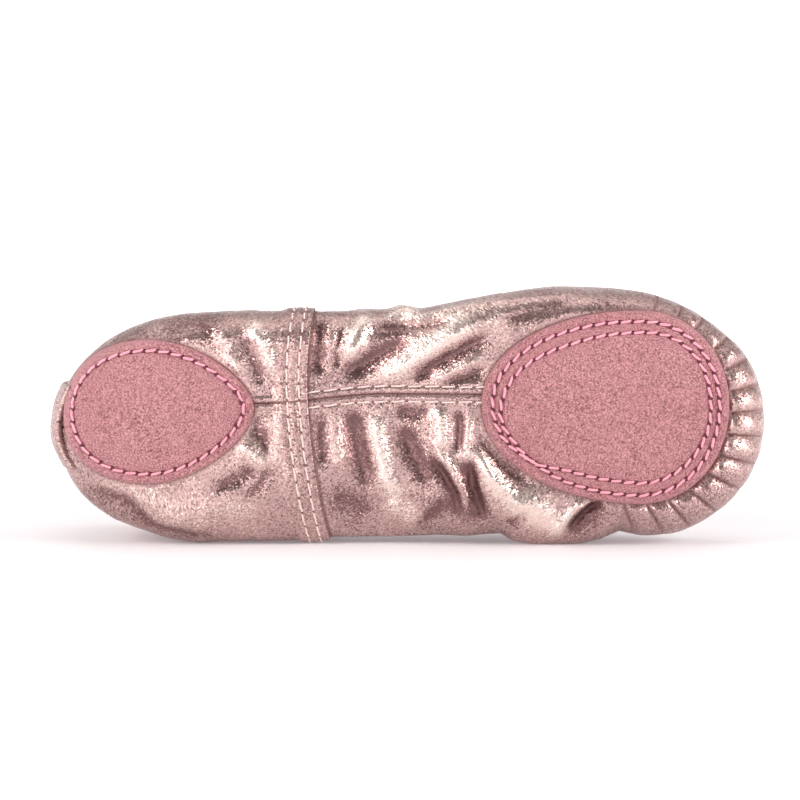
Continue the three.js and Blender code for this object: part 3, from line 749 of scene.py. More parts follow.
# %% Cotton
def plain_cotton(name, light, dark):
    cotton = Finish(name, Roughness=0.9, Sheen_Weight=0.2, Specular_IOR_Level=0.2)
    place = cotton.place()
    weave = cotton.node("ShaderNodeTexVoronoi", dict(feature="F1", distance="CHEBYCHEV"),
                        Vector=place, Scale=1900.0, Randomness=0.25)
    cell = cotton.amount(weave, "Distance")
    slub = cotton.noise(place, 320.0, 3.0)
    stain = cotton.noise(place, 30.0, 3.0)
    colour = cotton.mix(slub.within(0.3, 0.7), dark, light)
    colour = cotton.mix(stain.within(0.5, 0.8) * 0.3, colour, dark)
    return cotton.set(Base_Color=colour, Normal=cotton.bump(cell + slub * 0.5, 0.0004, 0.5))


cream_cotton = plain_cotton("cream_cotton", (0.93, 0.83, 0.76), (0.80, 0.64, 0.58))
soft_pad = plain_cotton("insole_cotton", (0.83, 0.66, 0.6), (0.58, 0.4, 0.37))
print("cotton has", len(cream_cotton.node_tree.nodes), "nodes")


# %% Elastic
def ribbed_elastic(name):
    web = Finish(name, Roughness=0.75, Sheen_Weight=0.25, Specular_IOR_Level=0.25)
    ribs = web.attribute("rib").maths("SINE")
    fuzz = web.noise(web.place(), 1400.0, 3.0)
    colour = web.mix(ribs * 0.5 + 0.5, (0.55, 0.3, 0.3), (0.83, 0.56, 0.54))
    colour = web.mix(fuzz.within(0.4, 0.7) * 0.3, colour, (0.9, 0.68, 0.66))
    return web.set(Base_Color=colour, Normal=web.bump(ribs + fuzz * 0.6, 0.00025, 0.8))


rose_elastic = ribbed_elastic("rose_elastic")
print(len(bpy.data.materials), "finishes")

# %% [markdown]
# ## From pattern to cloth
# A sheet is a grid of points with its faces between them. It is pushed out along the surface's
# own normals by the folds, so that one pattern serves the smooth lining and the creased cloth.

# %% Grids and meshes
def make_piece(name, points, faces, finish, uv=None, values=None):
    """A mesh piece in the shared frame, from millimetres. values are named numbers per point."""
    mesh = bpy.data.meshes.new(name)
    faces = faces if isinstance(faces, list) else faces.tolist()
    mesh.from_pydata(to_frame(points).tolist(), [], faces)
    mesh.polygons.foreach_set("use_smooth", [True] * len(faces))
    if uv is not None:
        layer = mesh.uv_layers.new(name="cloth")
        corners = np.zeros(len(mesh.loops), int)
        mesh.loops.foreach_get("vertex_index", corners)
        layer.data.foreach_set("uv", (np.asarray(uv) * 0.001)[corners].ravel().astype(np.float32))
    for key, numbers in (values or {}).items():
        attribute = mesh.attributes.new(key, "FLOAT", "POINT")
        attribute.data.foreach_set("value", np.asarray(numbers, np.float32))
    mesh.update()
    made = put(name, mesh)
    made.data.materials.append(finish)
    return made


def grid_faces(rows, columns, closed=False, looped=False, flip=False):
    """Quads between the points of a grid, whose points are numbered row by row.

    closed joins the last column to the first, and looped the last row to the first.
    """
    r, c = np.meshgrid(np.arange(rows if looped else rows - 1),
                       np.arange(columns if closed else columns - 1), indexing="ij")
    above, beside = (r + 1) % rows, (c + 1) % columns
    corners = [(r, c), (r, beside), (above, beside), (above, c)]
    a, b, d, e = (row * columns + column for row, column in corners)
    return np.stack([a, e, d, b] if flip else [a, b, d, e], -1).reshape(-1, 4)


def row_steps(sole, edge, wall, top=3.0):
    """Rows from the middle of the sole to the topline, closer together near the seam."""
    return np.concatenate([
        np.linspace(0, 1, sole, endpoint=False) ** 1.2,
        np.linspace(1, 2, edge, endpoint=False),
        np.linspace(2, top, wall),
    ])


def cloth_uv(angles, rows, points):
    """Where each point lay before the cloth was shaped, along its line from the middle."""
    steps = np.linalg.norm(np.diff(points, axis=0), axis=-1)
    length = np.concatenate([np.zeros((1, points.shape[1])), np.cumsum(steps, axis=0)])
    away = unit(outline(angles) - points[:1][..., [0, 2]])
    return points[0][..., [0, 2]] + away * length[..., None]


print("rows of the vamp:", len(row_steps(62, 66, 44)))

# %% [markdown]
# ## The vamp
# The vamp is cut as one piece. It starts under the folded edge of the quarters, goes round the
# toe and comes back, and its two edges meet in the seam under the arch. The seam pulls the
# cloth down in a narrow line and the stitches beside it leave shallow rows.

# %% Seam heights
arch_seam_end, sole_top = 122, 8


def arch_seam_height(spots):
    """The groove of the middle seam, the dip of its stitch rows, and the shade in it."""
    off = np.abs(spots[:, 1] - seam_line(spots[:, 0]))
    groove = 0.14 * bell(off - 1.1, 0.7) - 0.5 * bell(off, 0.26, 1.3) - 0.13 * bell(off - 2.1, 0.4)
    under_arch = (spots[:, 0] < arch_seam_end).astype(float)
    return groove * under_arch, bell(off, 0.24) * under_arch


def cloth_height(points):
    """Folds and seam together, the shade that their depth gives, and the painted light and shade of
    the folds.
    """
    groove, shade = arch_seam_height(points[:, [0, 2]])
    calm = ease((np.abs(points[:, 2] - seam_line(points[:, 0])) - 1.2) / 3.5)
    low = points[:, 1] < sole_top
    held = np.where(low & (points[:, 0] < arch_seam_end), 0.25 + 0.75 * calm, 1)
    push = fold_height(points) * held + np.where(low, groove, 0)
    shade = np.maximum(np.where(low, shade, 0), crease_shade(points))
    return push, shade, fold_light_and_shade(points) * (0.4 + 0.6 * calm)


arch_spot = np.array([[88.0, float(seam_line(88.0))]])
print("the seam sinks", round(float(-arch_seam_height(arch_spot)[0][0]), 2), "mm into the cloth")


# How the lower side lies on the floor: x, and how far it is lifted or sags there.
lie = np.array([
    [0, 0], [62, 0], [74, 1.1], [92, 1.4], [110, 1.3], [117, 2.2], [120, 2.4], [123, 0.4],
    [130, -0.6], [141, -0.6], [147, 0.5], [152, 3.0], [158, 2.0], [170, 0.4], [190, 0],
])
heel_sag = np.array([
    [0, -0.5], [3, -4], [7, -5.4], [14, -4.6], [30, -4], [38, -3], [46, -0.8], [52, 0],
])
lowest_cloth = -0.6


def settle(points):
    """The lower side rests on the floor at the heel and on the fold under the forefoot."""
    x, y = points[..., 0], points[..., 1]
    free = -inside_egg(points[..., [0, 2]].reshape(-1, 2), "heel").reshape(points.shape[:-1])
    below_rim = 1 - ease((y - 13) / 13)
    sag = np.interp(x, *heel_sag.T) * ease((free - 0.5) / 7)
    points[..., 2] += sag * ease((30 - points[..., 2]) / 8) * below_rim
    weight = ease((11 - points[..., 2]) / 11)
    points[..., 2] += weight * below_rim * np.interp(x, *lie.T)
    points[..., 2] = np.maximum(points[..., 2], lowest_cloth)
    return points


# %% Vamp
half_columns = 225
tucked_in = 2.2
rows = row_steps(62, 66, 44)
right_start, left_start = (seam_angle(rows, side, tucked_in)[:, None] for side in (1, -1))
share = np.linspace(0, 1, half_columns + 1)[None, :]
angles = np.concatenate([
    lerp(right_start, math.pi, share),
    2 * math.pi - lerp(left_start, math.pi, share[:, -2::-1]),
], axis=1)
smooth_vamp = upper(angles, rows[:, None])
flat_points = smooth_vamp.reshape(-1, 3)
push, shade, painted_fold_light = cloth_height(flat_points)
past_seam = flat_points[:, 0] - cross_seam(flat_points[:, 2])
# Painted shadow on the vamp just in front of the quarters' lip.
shade = np.maximum(shade, bell(past_seam - 0.65, 0.45))
normals = outward(angles, rows[:, None]).reshape(-1, 3)
vamp_points = flat_points + normals * push[:, None]
columns = angles.shape[1]

# The first row of the left half is the first row of the right half, sewn together.
twin = np.arange(len(vamp_points))
twin[half_columns + 1: columns] = columns - 1 - np.arange(half_columns + 1, columns)
faces = twin[grid_faces(len(rows), columns)]
vamp_points = settle(vamp_points)
vamp_cloth = make_piece("vamp_cloth", vamp_points, faces, rose_cloth,
                        cloth_uv(angles, rows, smooth_vamp).reshape(-1, 2),
                        dict(shade=shade, fold=painted_fold_light))
print("vamp cloth:", len(faces) * 2, "triangles, folds from", round(float(push.min()), 2),
      "to", round(float(push.max()), 2), "mm")

# %% [markdown]
# ## The quarters
# The two quarters close the heel. Their front edge is folded under and topstitched on the vamp
# with two rows, so it stands a little proud and ends in a rounded lip, with a thin line of painted
# shade on the lip and just ahead of it.

# %% Quarters
stitched_behind = (1.9, 5.1)
lip_radius, lip_turns, lip_tail = 0.42, (25, 55, 85, 115, 150, 180), 1.2


def quarter_cloth(name, side):
    steps = 150
    rows = row_steps(64, 60, 44)
    start = seam_angle(rows, side)[:, None]
    share = np.linspace(0, 1, steps)[None, :] ** 0.92
    turn = start * share
    angles = turn if side > 0 else 2 * math.pi - np.maximum(turn, 1e-4)
    points = upper(angles, rows[:, None])
    flat = points.reshape(-1, 3)
    push, shade, painted_fold_light = cloth_height(flat)
    behind = cross_seam(flat[:, 2]) - flat[:, 0]
    near_edge = 1 - ease((behind - 6.2) / 3.0)
    push = push * (1 - 0.75 * near_edge) + 0.85 * near_edge
    for row in stitched_behind:
        push -= 0.27 * bell(behind - row, 0.5)
    push += 0.14 * bell(behind - np.mean(stitched_behind), 0.9)
    normals = outward(angles, rows[:, None])
    cloth = (flat + normals.reshape(-1, 3) * push[:, None]).reshape(points.shape)
    # The folded lip: the edge rolls over towards the toe and back under itself.
    ahead, up = unit(cloth[:, -1] - cloth[:, -3]), normals[:, -1]
    lip = [cloth[:, -1] + lip_radius * (ahead * math.sin(roll) + up * (math.cos(roll) - 1))
           for roll in np.radians(lip_turns)]
    lip.append(lip[-1] - ahead * lip_tail)
    cloth = settle(np.concatenate([cloth, np.stack(lip, 1)], axis=1))
    # Painted shade on the rolled lip.
    lip_shade = np.repeat([[0.1, 0.6, 1, 1, 1, 1, 1]], len(rows), 0)
    painted_fold_light = (painted_fold_light * (1 - near_edge)).reshape(len(rows), steps)
    shade = np.concatenate([shade.reshape(len(rows), steps), lip_shade], axis=1)
    painted_fold_light = np.concatenate([painted_fold_light, lip_shade * 0], axis=1)
    uv = cloth_uv(angles, rows, points)
    uv = np.concatenate([uv, np.repeat(uv[:, -1:], len(lip), 1)], axis=1)
    faces = grid_faces(len(rows), cloth.shape[1], flip=side < 0)
    made = make_piece(name, cloth.reshape(-1, 3), faces, rose_cloth,
                      uv.reshape(-1, 2), dict(shade=shade.ravel(), fold=painted_fold_light.ravel()))
    print(name, len(faces) * 2, "triangles")
    return made


quarter_right_cloth = quarter_cloth("quarter_right_cloth", 1)
quarter_left_cloth = quarter_cloth("quarter_left_cloth", -1)

# %% [markdown]
# ## Suede patches
# A patch is cut from flat leather and laid over the curved sole, so it takes the sole's height
# from below it. A ray is cast on the smooth pattern for each of its points. Its edge is rounded
# by wear, and each row of stitches pulls a shallow channel into the nap.

# %% Height of the sole under a patch
base_rows = row_steps(24, 26, 12)
base_angles = np.linspace(0, 2 * math.pi, 361)[None, :-1]
base = upper(base_angles, base_rows[:, None])
base_tree = BVHTree.FromPolygons(base.reshape(-1, 3).tolist(),
                                 grid_faces(len(base_rows), 360, closed=True).tolist())


def sole_at(spots):
    """Depth of the smooth sole, and its outward direction, at each (x, z)."""
    depth, normal = np.zeros(len(spots)), np.tile([0.0, -1.0, 0.0], (len(spots), 1))
    for i, (x, z) in enumerate(spots):
        place, facing, _, _ = base_tree.ray_cast(Vector((x, -30, z)), Vector((0, 1, 0)))
        if place is not None:
            depth[i] = place.y
            normal[i] = facing if facing.y < 0 else -facing
    return depth, normal


spots = np.array([[20.0, 36.0], [88.0, 40.0]])
print("sole depth under the heel and the arch:", np.round(sole_at(spots)[0], 2), "mm")

# %% The rows of stitches
patch_thickness, patch_gap, patch_tuck = 1.4, 0.25, 0.35
row_insets = {"forefoot": (2.8, 5.9), "heel": (2.8,)}


def row_path(name, number, steps=60):
    """The line that a row of stitches follows. The two forefoot rows run together at places."""
    line = egg(name, row_insets[name][number], steps)
    if name == "heel":
        return line
    middle = line.mean(0)
    way = np.degrees(np.arctan2(line[:, 1] - middle[1], line[:, 0] - middle[0]))
    away = (line - middle) / np.linalg.norm(line - middle, axis=1, keepdims=True)
    # The inner row closes up on the outer one at the toe's upper side, and the two cross where
    # the sewer started and stopped.
    def close_to(centre, spread):
        return bell((way - centre + 180) % 360 - 180, spread)

    if number == 1:
        shift = 0.9 * close_to(30, 38) + 1.3 * close_to(-170, 14) + 2.2 * close_to(-147, 12)
        shift += 0.5 * close_to(-15, 20) - 0.5 * close_to(135, 25)
    else:
        shift = -0.2 * close_to(-170, 14) - 0.9 * close_to(-147, 12) + 0.3 * close_to(-95, 30)
    return line + away * shift[:, None]


print("the outer row is", round(float(travel_along(row_path("forefoot", 0))[-1])), "mm long")


# %% Patches
def rounded_edge(inset, radius):
    """The height of a rounded edge, 0 to 1, at each distance in from it."""
    return np.sqrt(np.maximum(0, 1 - (1 - np.clip(inset / radius, 0, 1)) ** 2))


def suede_patch(name, piece_name):
    edge = egg(name, 0, 66)
    middle = edge.mean(0)
    rings = np.linspace(0, 1, 84) ** 0.72
    spots = (middle + (edge - middle) * rings[:, None, None]).reshape(-1, 2)
    inset = np.maximum(inside_egg(spots, name), 0)
    inset[-len(edge):] = 0
    wear = 0.95
    height = patch_thickness * (0.30 + 0.70 * rounded_edge(inset, wear))
    # Painted shade where the edge turns down and in the stitch channels. The wall and the underside
    # get more of it.
    shade = 0.55 * (1 - np.clip(inset / wear, 0, 1)) ** 1.5
    for number in range(len(row_insets[name])):
        off, _ = near_line(spots, row_path(name, number), closed=True)
        height -= 0.30 * bell(off, 0.55)
        shade += 0.30 * bell(off, 0.6)
    flat = np.insert(spots, 1, 0.0, axis=1)
    height += 0.05 * ripple(flat, 9, 11) + 0.03 * ripple(flat, 4, 12)
    height += 0.35 * np.sin(np.pi * np.clip(inset / 36, 0, 1))
    depth, _ = sole_at(spots)
    top = flat.copy()
    top[:, 1] = depth - patch_gap - height
    # The edge turns down to the cloth on its own side wall.
    count = len(edge)
    wall = []
    for drop in (0.5, 1.0):
        rim = top[-count:].copy()
        rim[:, 1] = lerp(rim[:, 1], depth[-count:] + patch_tuck, drop)
        wall.append(rim)
    under = flat.reshape(-1, count, 3)[::-14][1:].copy()
    under[..., 1] = depth.reshape(-1, count)[::-14][1:] + patch_tuck
    points = np.concatenate([top, *wall, under.reshape(-1, 3)])
    shade = np.clip(np.concatenate([shade, np.full(len(points) - len(shade), 0.8)]), 0, 1)
    made = make_piece(piece_name, points, grid_faces(len(points) // count, count, closed=True),
                      pink_suede, values=dict(shade=shade))
    clean(made)
    print(piece_name, len(made.data.polygons), "faces, centre", np.round(middle, 1))
    return made


def clean(piece, gap=1e-6):
    """Joins points that meet, closes what is left open at a pole, and turns faces outwards."""
    work = bmesh.new()
    work.from_mesh(piece.data)
    bmesh.ops.remove_doubles(work, verts=work.verts, dist=gap)
    bmesh.ops.dissolve_degenerate(work, edges=work.edges, dist=gap)
    bmesh.ops.recalc_face_normals(work, faces=work.faces)
    work.to_mesh(piece.data)
    work.free()


forefoot_patch = suede_patch("forefoot", "forefoot_suede_patch")
heel_patch = suede_patch("heel", "heel_suede_patch")

# %% [markdown]
# ## Stitches with Geometry Nodes
# A machine lays one stitch after another along a line, each as long as the last. That is a rule,
# so a node tree makes them: the line is resampled at the pitch, a bent thread and a needle hole
# are placed on every point, turned to the line and to the cloth, and made real.

# %% The stitch tree
stitch_inputs = {"Pitch": 0.0035, "Share Shown": 0.86, "Thread Radius": 0.0003,
                 "Rise": 0.0002, "Slant": 0.14, "Hole Radius": 0.0003}


def stitch_tree():
    tree = bpy.data.node_groups.new("sewn_row", "GeometryNodeTree")
    face = tree.interface
    face.new_socket("Geometry", in_out="INPUT", socket_type="NodeSocketGeometry")
    for name, value in stitch_inputs.items():
        socket = face.new_socket(name, in_out="INPUT", socket_type="NodeSocketFloat")
        socket.default_value = value
    for name in ("Thread", "Hole"):
        face.new_socket(name, in_out="INPUT", socket_type="NodeSocketMaterial")
    face.new_socket("Geometry", in_out="OUTPUT", socket_type="NodeSocketGeometry")
    sewer = Network(tree)
    given = tree.nodes.new("NodeGroupInput").outputs
    pitch, shown, radius, rise, slant, hole_radius = (
        Amount(sewer, given[name]) for name in stitch_inputs)

    def add(kind, settings=None, **sockets):
        return sewer.node(kind, settings, **sockets).outputs[0]

    def place(x, y, z):
        return add("ShaderNodeCombineXYZ", X=x, Y=y, Z=z)

    # One stitch: a bent thread, and the pressed hole that it comes out of, coloured dark as painted
    # shade.
    half, low = pitch * shown * 0.5, radius * -1.0
    arc = add("GeometryNodeCurveQuadraticBezier", Resolution=6, Start=place(half * -1.0, 0.0, low),
              Middle=place(0.0, 0.0, rise * 2.0), End=place(half, 0.0, low))
    ring = add("GeometryNodeCurvePrimitiveCircle", Resolution=7, Radius=radius)
    thread = add("GeometryNodeCurveToMesh", Curve=arc, Profile_Curve=ring, Fill_Caps=True)
    slanted = add("GeometryNodeTransform", Geometry=thread,
                  Translation=place(pitch * 0.5, 0.0, 0.0), Rotation=place(0.0, 0.0, slant))
    ball = add("GeometryNodeMeshUVSphere", Segments=7, Rings=4, Radius=hole_radius)
    pressed = add("GeometryNodeTransform", Geometry=ball,
                  Translation=place(0.0, 0.0, low * 0.5), Scale=(1.25, 0.9, 0.5))
    both = tree.nodes.new("GeometryNodeJoinGeometry")
    for shape, finish in ((slanted, "Thread"), (pressed, "Hole")):
        coloured = add("GeometryNodeSetMaterial", Geometry=shape, Material=given[finish])
        tree.links.new(coloured, both.inputs[0])
    # The row: points along the line, each turned to the line and to the cloth.
    line = add("GeometryNodeMeshToCurve", Mesh=given["Geometry"])
    spaced = add("GeometryNodeResampleCurve", dict(mode="LENGTH"), Curve=line, Length=pitch)
    facing = add("GeometryNodeInputNamedAttribute", dict(data_type="FLOAT_VECTOR"), Name="facing")
    along = add("FunctionNodeAlignRotationToVector", dict(axis="X"),
                Vector=add("GeometryNodeInputTangent"))
    turned = add("FunctionNodeAlignRotationToVector", dict(axis="Z", pivot_axis="X"),
                 Rotation=along, Vector=facing)
    sewn = add("GeometryNodeInstanceOnPoints", Points=spaced, Instance=both.outputs[0],
               Rotation=turned)
    real = add("GeometryNodeRealizeInstances", Geometry=sewn)
    soft = add("GeometryNodeSetShadeSmooth", Geometry=real)
    tree.links.new(soft, tree.nodes.new("NodeGroupOutput").inputs[0])
    return tree


sewn_row = stitch_tree()
print("the stitch tree has", len(sewn_row.nodes), "nodes")
# %% Sewing a row
thread_above_floor = 0.45


def applied(made):
    """The plain mesh that an object's modifiers make."""
    shown = made.evaluated_get(bpy.context.evaluated_depsgraph_get())
    return bpy.data.meshes.new_from_object(shown)


def sew(name, points, facing, slot, closed=False, **settings):
    """A row of stitches along a line of points, in millimetres."""
    points = np.array(points, float)
    points[:, 2] = np.maximum(points[:, 2], thread_above_floor)
    mesh = bpy.data.meshes.new(name + "_line")
    count = len(points)
    edges = [(i, i + 1) for i in range(count - 1)] + ([(count - 1, 0)] if closed else [])
    mesh.from_pydata(to_frame(points).tolist(), edges, [])
    attribute = mesh.attributes.new("facing", "FLOAT_VECTOR", "POINT")
    attribute.data.foreach_set("vector", np.asarray(facing, np.float32).ravel())
    guide = put(name + "_guide", mesh)
    modifier = guide.modifiers.new("sewn", "NODES")
    modifier.node_group = sewn_row
    inputs = {item.name: item.identifier for item in sewn_row.interface.items_tree
              if item.in_out == "INPUT"}
    for key, value in settings.items():
        modifier[inputs[key.replace("_", " ")]] = value
    plain = applied(guide)
    plain.name = name
    bpy.data.objects.remove(guide)
    for vertex in plain.vertices:
        vertex.co.z = max(vertex.co.z, float(vamp_low.z) + lowest_cloth * 0.001)
    made = put(name, plain)
    print(name, len(plain.polygons), "faces")
    return made


# %% Stitches of the patches
def sew_patch(name, number, piece_name):
    line = row_path(name, number, 90)
    depth, normal = sole_at(line)
    sunk, slant = (0.10, 0.10) if name == "forefoot" else (0.16, 0.2)
    surface = depth - patch_gap - patch_thickness - 0.08
    points = np.stack([line[:, 0], surface - sunk, line[:, 1]], -1)
    return sew(piece_name, points, normal, "pink_thread", closed=True, Pitch=0.00345,
               Share_Shown=0.86, Thread_Radius=0.00034, Rise=0.00042, Slant=slant,
               Hole_Radius=0.0007, Thread=pink_thread, Hole=suede_hole_shade)


patch_rows = [
    (sew_patch("forefoot", 0, "forefoot_outer_sewing"), "forefoot_patch_outer_stitches", "forefoot"),
    (sew_patch("forefoot", 1, "forefoot_inner_sewing"), "forefoot_patch_inner_stitches", "forefoot"),
    (sew_patch("heel", 0, "heel_sewing"), "heel_patch_stitches", "heel"),
]

# %% Stitches of the seams, laid on the finished cloth
cloth_tree = {}
for piece in (vamp_cloth, quarter_right_cloth, quarter_left_cloth):
    count = len(piece.data.vertices)
    where = np.zeros(count * 3, np.float32)
    piece.data.vertices.foreach_get("co", where)
    mm = (where.reshape(-1, 3) - pattern_corner) * 1000
    cloth_tree[piece.name] = BVHTree.FromPolygons(
        mm.tolist(), [tuple(p.vertices) for p in piece.data.polygons])


def on_cloth(points, names, lift=0.1):
    """Moves pattern points to the nearest cloth, a thread's depth above it."""
    placed, facing = [], []
    for p in points:
        found = [cloth_tree[n].find_nearest(Vector(p)) for n in names]
        where, normal, _, _ = min(found, key=lambda f: f[3])
        placed.append(np.array(where) + np.array(normal) * lift)
        facing.append(np.array(normal))
    return np.array(placed), np.array(facing)


def cross_row(distance):
    rows = np.linspace(0.0, 2.72, 160)
    lines = []
    for side in (1, -1):
        angle = seam_angle(rows, side, distance)
        angle = angle if side > 0 else 2 * math.pi - angle
        lines.append(upper(angle, rows) + outward(angle, rows) * 0.8)
    return np.concatenate([lines[0][::-1], lines[1][1:]])


def pale_row(name, points, names, pitch):
    placed, facing = on_cloth(points, names)
    return sew(name, placed, facing, "pale_thread", Pitch=pitch, Share_Shown=0.8,
               Thread_Radius=0.00025, Rise=0.00028, Slant=0.05, Hole_Radius=0.00034,
               Thread=pale_thread, Hole=cloth_hole_shade)


quarters = ["quarter_right_cloth", "quarter_left_cloth"]
along_arch = np.linspace(cross_seam_x, 117, 90)


def arch_row(side):
    z = seam_line(along_arch) + side * 2.1
    return np.stack([along_arch, arch_height(along_arch) - 0.3, z], -1)


front, rear = (cross_row(behind) for behind in stitched_behind)
seam_rows = [
    (pale_row("cross_seam_front_sewing", front, quarters, 0.0043), "cross_seam_front_stitches"),
    (pale_row("cross_seam_rear_sewing", rear, quarters, 0.0043), "cross_seam_rear_stitches"),
    (pale_row("arch_seam_right_sewing", arch_row(1), ["vamp_cloth"], 0.0042),
     "arch_seam_right_stitches"),
    (pale_row("arch_seam_left_sewing", arch_row(-1), ["vamp_cloth"], 0.0042),
     "arch_seam_left_stitches"),
]

# %% [markdown]
# ## The topline
# The rim of the opening is a strip of cloth folded over both fabrics, with an elastic inside
# it. The elastic is shorter than the rim, so the strip gathers in small even ruffles.

# %% The rim's own frame
def rim_frame(angle):
    top = upper(angle, 3.0)
    return top, outward(angle, 2.99), unit(top - upper(angle, 2 + 5 / 6))


def rim_sweep(section, around, ruffle=0.0):
    """Rings of points round the rim. section holds (outwards, upwards) in millimetres."""
    angles = np.linspace(0, 2 * math.pi, around, endpoint=False) + 1e-4
    top, out, up = rim_frame(angles)
    travel = travel_along(top)
    phase = travel / (travel[-1] + 1.0) * 2 * math.pi * 62
    swing = np.sin(phase + 0.8 * np.sin(phase / 5.3)) * (0.75 + 0.25 * np.sin(phase / 7.1))
    rings = []
    for outwards, upwards in section:
        share = 1 - 0.45 * ease((upwards - 0.5) / 2)
        pushed = outwards + np.sign(outwards + 0.85) * ruffle * share * swing
        rings.append(top + out * pushed[:, None] + up * upwards)
    return np.stack(rings, 1)


rim_line, _, _ = rim_frame(np.linspace(0, 2 * math.pi, 200))
print("the rim is", round(float(travel_along(rim_line)[-1])), "mm round")


# %% An arc for a section
def arc_points(x, y, radius_x, radius_y, start, end, steps):
    turn = np.radians(np.linspace(start, end, steps))
    return [(x + radius_x * math.cos(t), y + radius_y * math.sin(t)) for t in turn]


# %% Binding
binding_section = (
    [(0.95, v) for v in np.linspace(-6, 1.2, 9)] + arc_points(-0.85, 1.3, 1.8, 1.7, 8, 172, 12)
    + [(-2.65, v) for v in np.linspace(1.2, -6, 9)]
    + [(-2.2, -6.1), (-2.1, -5.5), (0.3, -5.5), (0.45, -6.1)]
)
around, across = 620, len(binding_section)
rings = rim_sweep(binding_section, around, ruffle=0.22)
rings[..., 2] = np.maximum(rings[..., 2], 0.1)
binding_uv = np.stack(np.meshgrid(np.linspace(0, 33, across), np.linspace(0, 300, around)), -1)
binding = make_piece("topline_binding", rings.reshape(-1, 3),
                     grid_faces(around, across, closed=True, looped=True), rose_cloth,
                     binding_uv.reshape(-1, 2),
                     dict(shade=np.zeros(around * across)))
clean(binding)
print("binding", len(binding.data.polygons), "faces")

# %% Elastic inside the binding
around, across, rib_turn = 300, 12, 2.1
rings = rim_sweep(arc_points(-0.85, 1.2, 0.6, 0.6, 0, 330, across), around)
elastic = make_piece("topline_elastic_cord", rings.reshape(-1, 3),
                     grid_faces(around, across, closed=True, looped=True), rose_elastic,
                     values=dict(rib=np.repeat(np.arange(around) * rib_turn, across)))
clean(elastic)
print("elastic", len(elastic.data.polygons), "faces")

# %% Its row of stitches
top, out, up = rim_frame(np.linspace(0.002, 2 * math.pi - 0.002, 500))
binding_sewing = sew("binding_sewing", top + out * 1.12 - up * 4.9, out, "pale_thread", Pitch=0.0036,
                     Share_Shown=0.8, Thread_Radius=0.00019, Rise=0.0002, Slant=0.05,
                     Hole_Radius=0.00022, Thread=pale_thread, Hole=cloth_hole_shade)

# %% [markdown]
# ## Lining, insoles and heel strip
# Cotton lines the inside, a little slack, with a thin pad over each patch for the foot. The
# strip over the back seam covers where the two quarters meet and keeps it off the tendon.

# %% Lining
rows = row_steps(26, 24, 26, top=2.97)
columns = 340
lining_angles = np.linspace(0, 2 * math.pi, columns, endpoint=False)[None, :]
flat = upper(lining_angles, rows[:, None]).reshape(-1, 3)
normals = outward(lining_angles, rows[:, None]).reshape(-1, 3)
slack = 1.55 + 0.12 * ripple(flat, 9, 21) + 0.08 * ripple(flat, 5, 22)
slack -= np.minimum(fold_height(flat), 0)
lining = make_piece("cotton_lining", settle(flat - normals * slack[:, None]),
                    grid_faces(len(rows), columns, closed=True, flip=True), cream_cotton)
print("lining", len(lining.data.polygons), "faces")


# %% Insole pads
pad_bottom, pad_thickness = 2.05, 1.5


def insole_pad(name, inset, piece_name):
    edge = egg(name, inset, 30)
    middle = edge.mean(0)
    rings = np.linspace(0.02, 1, 30) ** 0.8
    spots = (middle + (edge - middle) * rings[:, None, None]).reshape(-1, 2)
    bottom = np.insert(spots, 1, pad_bottom, axis=1)
    inward = np.maximum(inside_egg(spots, name) - inset, 0)
    top = bottom.copy()
    top[:, 1] += pad_thickness * (0.15 + 0.85 * rounded_edge(inward, 1.1))
    top[:, 1] += 0.05 * ripple(np.insert(spots, 1, 0.0, axis=1), 10, 31)
    count = len(edge)
    points = np.concatenate([top, bottom.reshape(-1, count, 3)[::-1].reshape(-1, 3)])
    faces = grid_faces(len(points) // count, count, closed=True).tolist()
    faces += [list(range(count)), list(range(len(points) - count, len(points)))]
    made = make_piece(piece_name, points, faces, soft_pad)
    clean(made)
    print(piece_name, len(made.data.polygons), "faces")
    return made


forefoot_pad = insole_pad("forefoot", 4.6, "forefoot_insole_pad")
heel_pad = insole_pad("heel", 6.1, "heel_insole_pad")


# %% Heel strip
strip_half_width, strip_thickness = 11, 0.0004


def heel_strip():
    across, up_steps = 60, 46
    rows = np.linspace(1.35, 2.78, up_steps)
    turn = np.linspace(-1, 1, across)
    level = upper(0.0, 2.0)[2] + 1.0 + strip_half_width * turn
    swing = np.linspace(-0.5, 0.5, 801)
    angle = []
    for row in rows:
        ring = upper(swing, np.full(len(swing), row))
        order = np.argsort(ring[:, 2])
        angle.append(np.interp(level, ring[order, 2], swing[order]))
    angle = np.array(angle)
    where, normal = upper(angle, rows[:, None]), outward(angle, rows[:, None])
    side = (1 - np.abs(turn)) * strip_half_width
    end = np.minimum(np.arange(up_steps), np.arange(up_steps)[::-1]) * 0.7
    inset = np.minimum(side[None, :], end[:, None])
    lift = 0.1 + 1.5 * rounded_edge(inset, 0.9)
    lift += 0.10 * ripple(where.reshape(-1, 3), 6, 41).reshape(lift.shape)
    lift -= 0.10 * bell(side[None, :] - 2.0, 0.6)
    top = where + normal * lift[..., None]
    shade = 0.5 * bell(inset, 0.2)
    piece = make_piece("heel_back_tape", top.reshape(-1, 3), grid_faces(up_steps, across), rose_cloth,
                       (top[..., [2, 1]]).reshape(-1, 2), dict(shade=shade.ravel()))
    solid = piece.modifiers.new("thickness", "SOLIDIFY")
    solid.thickness, solid.offset = strip_thickness, -1
    plain = applied(piece)
    piece.modifiers.clear()
    piece.data = plain
    clean(piece)
    return piece


heel_tape = heel_strip()
print("heel tape", len(heel_tape.data.polygons), "faces")

# %% [markdown]
# ## Straps
# Two flat elastic straps cross over the instep. Each is a ribbed web, swept along a curve that
# starts inside one wall, bows over the opening and ends inside the other wall.

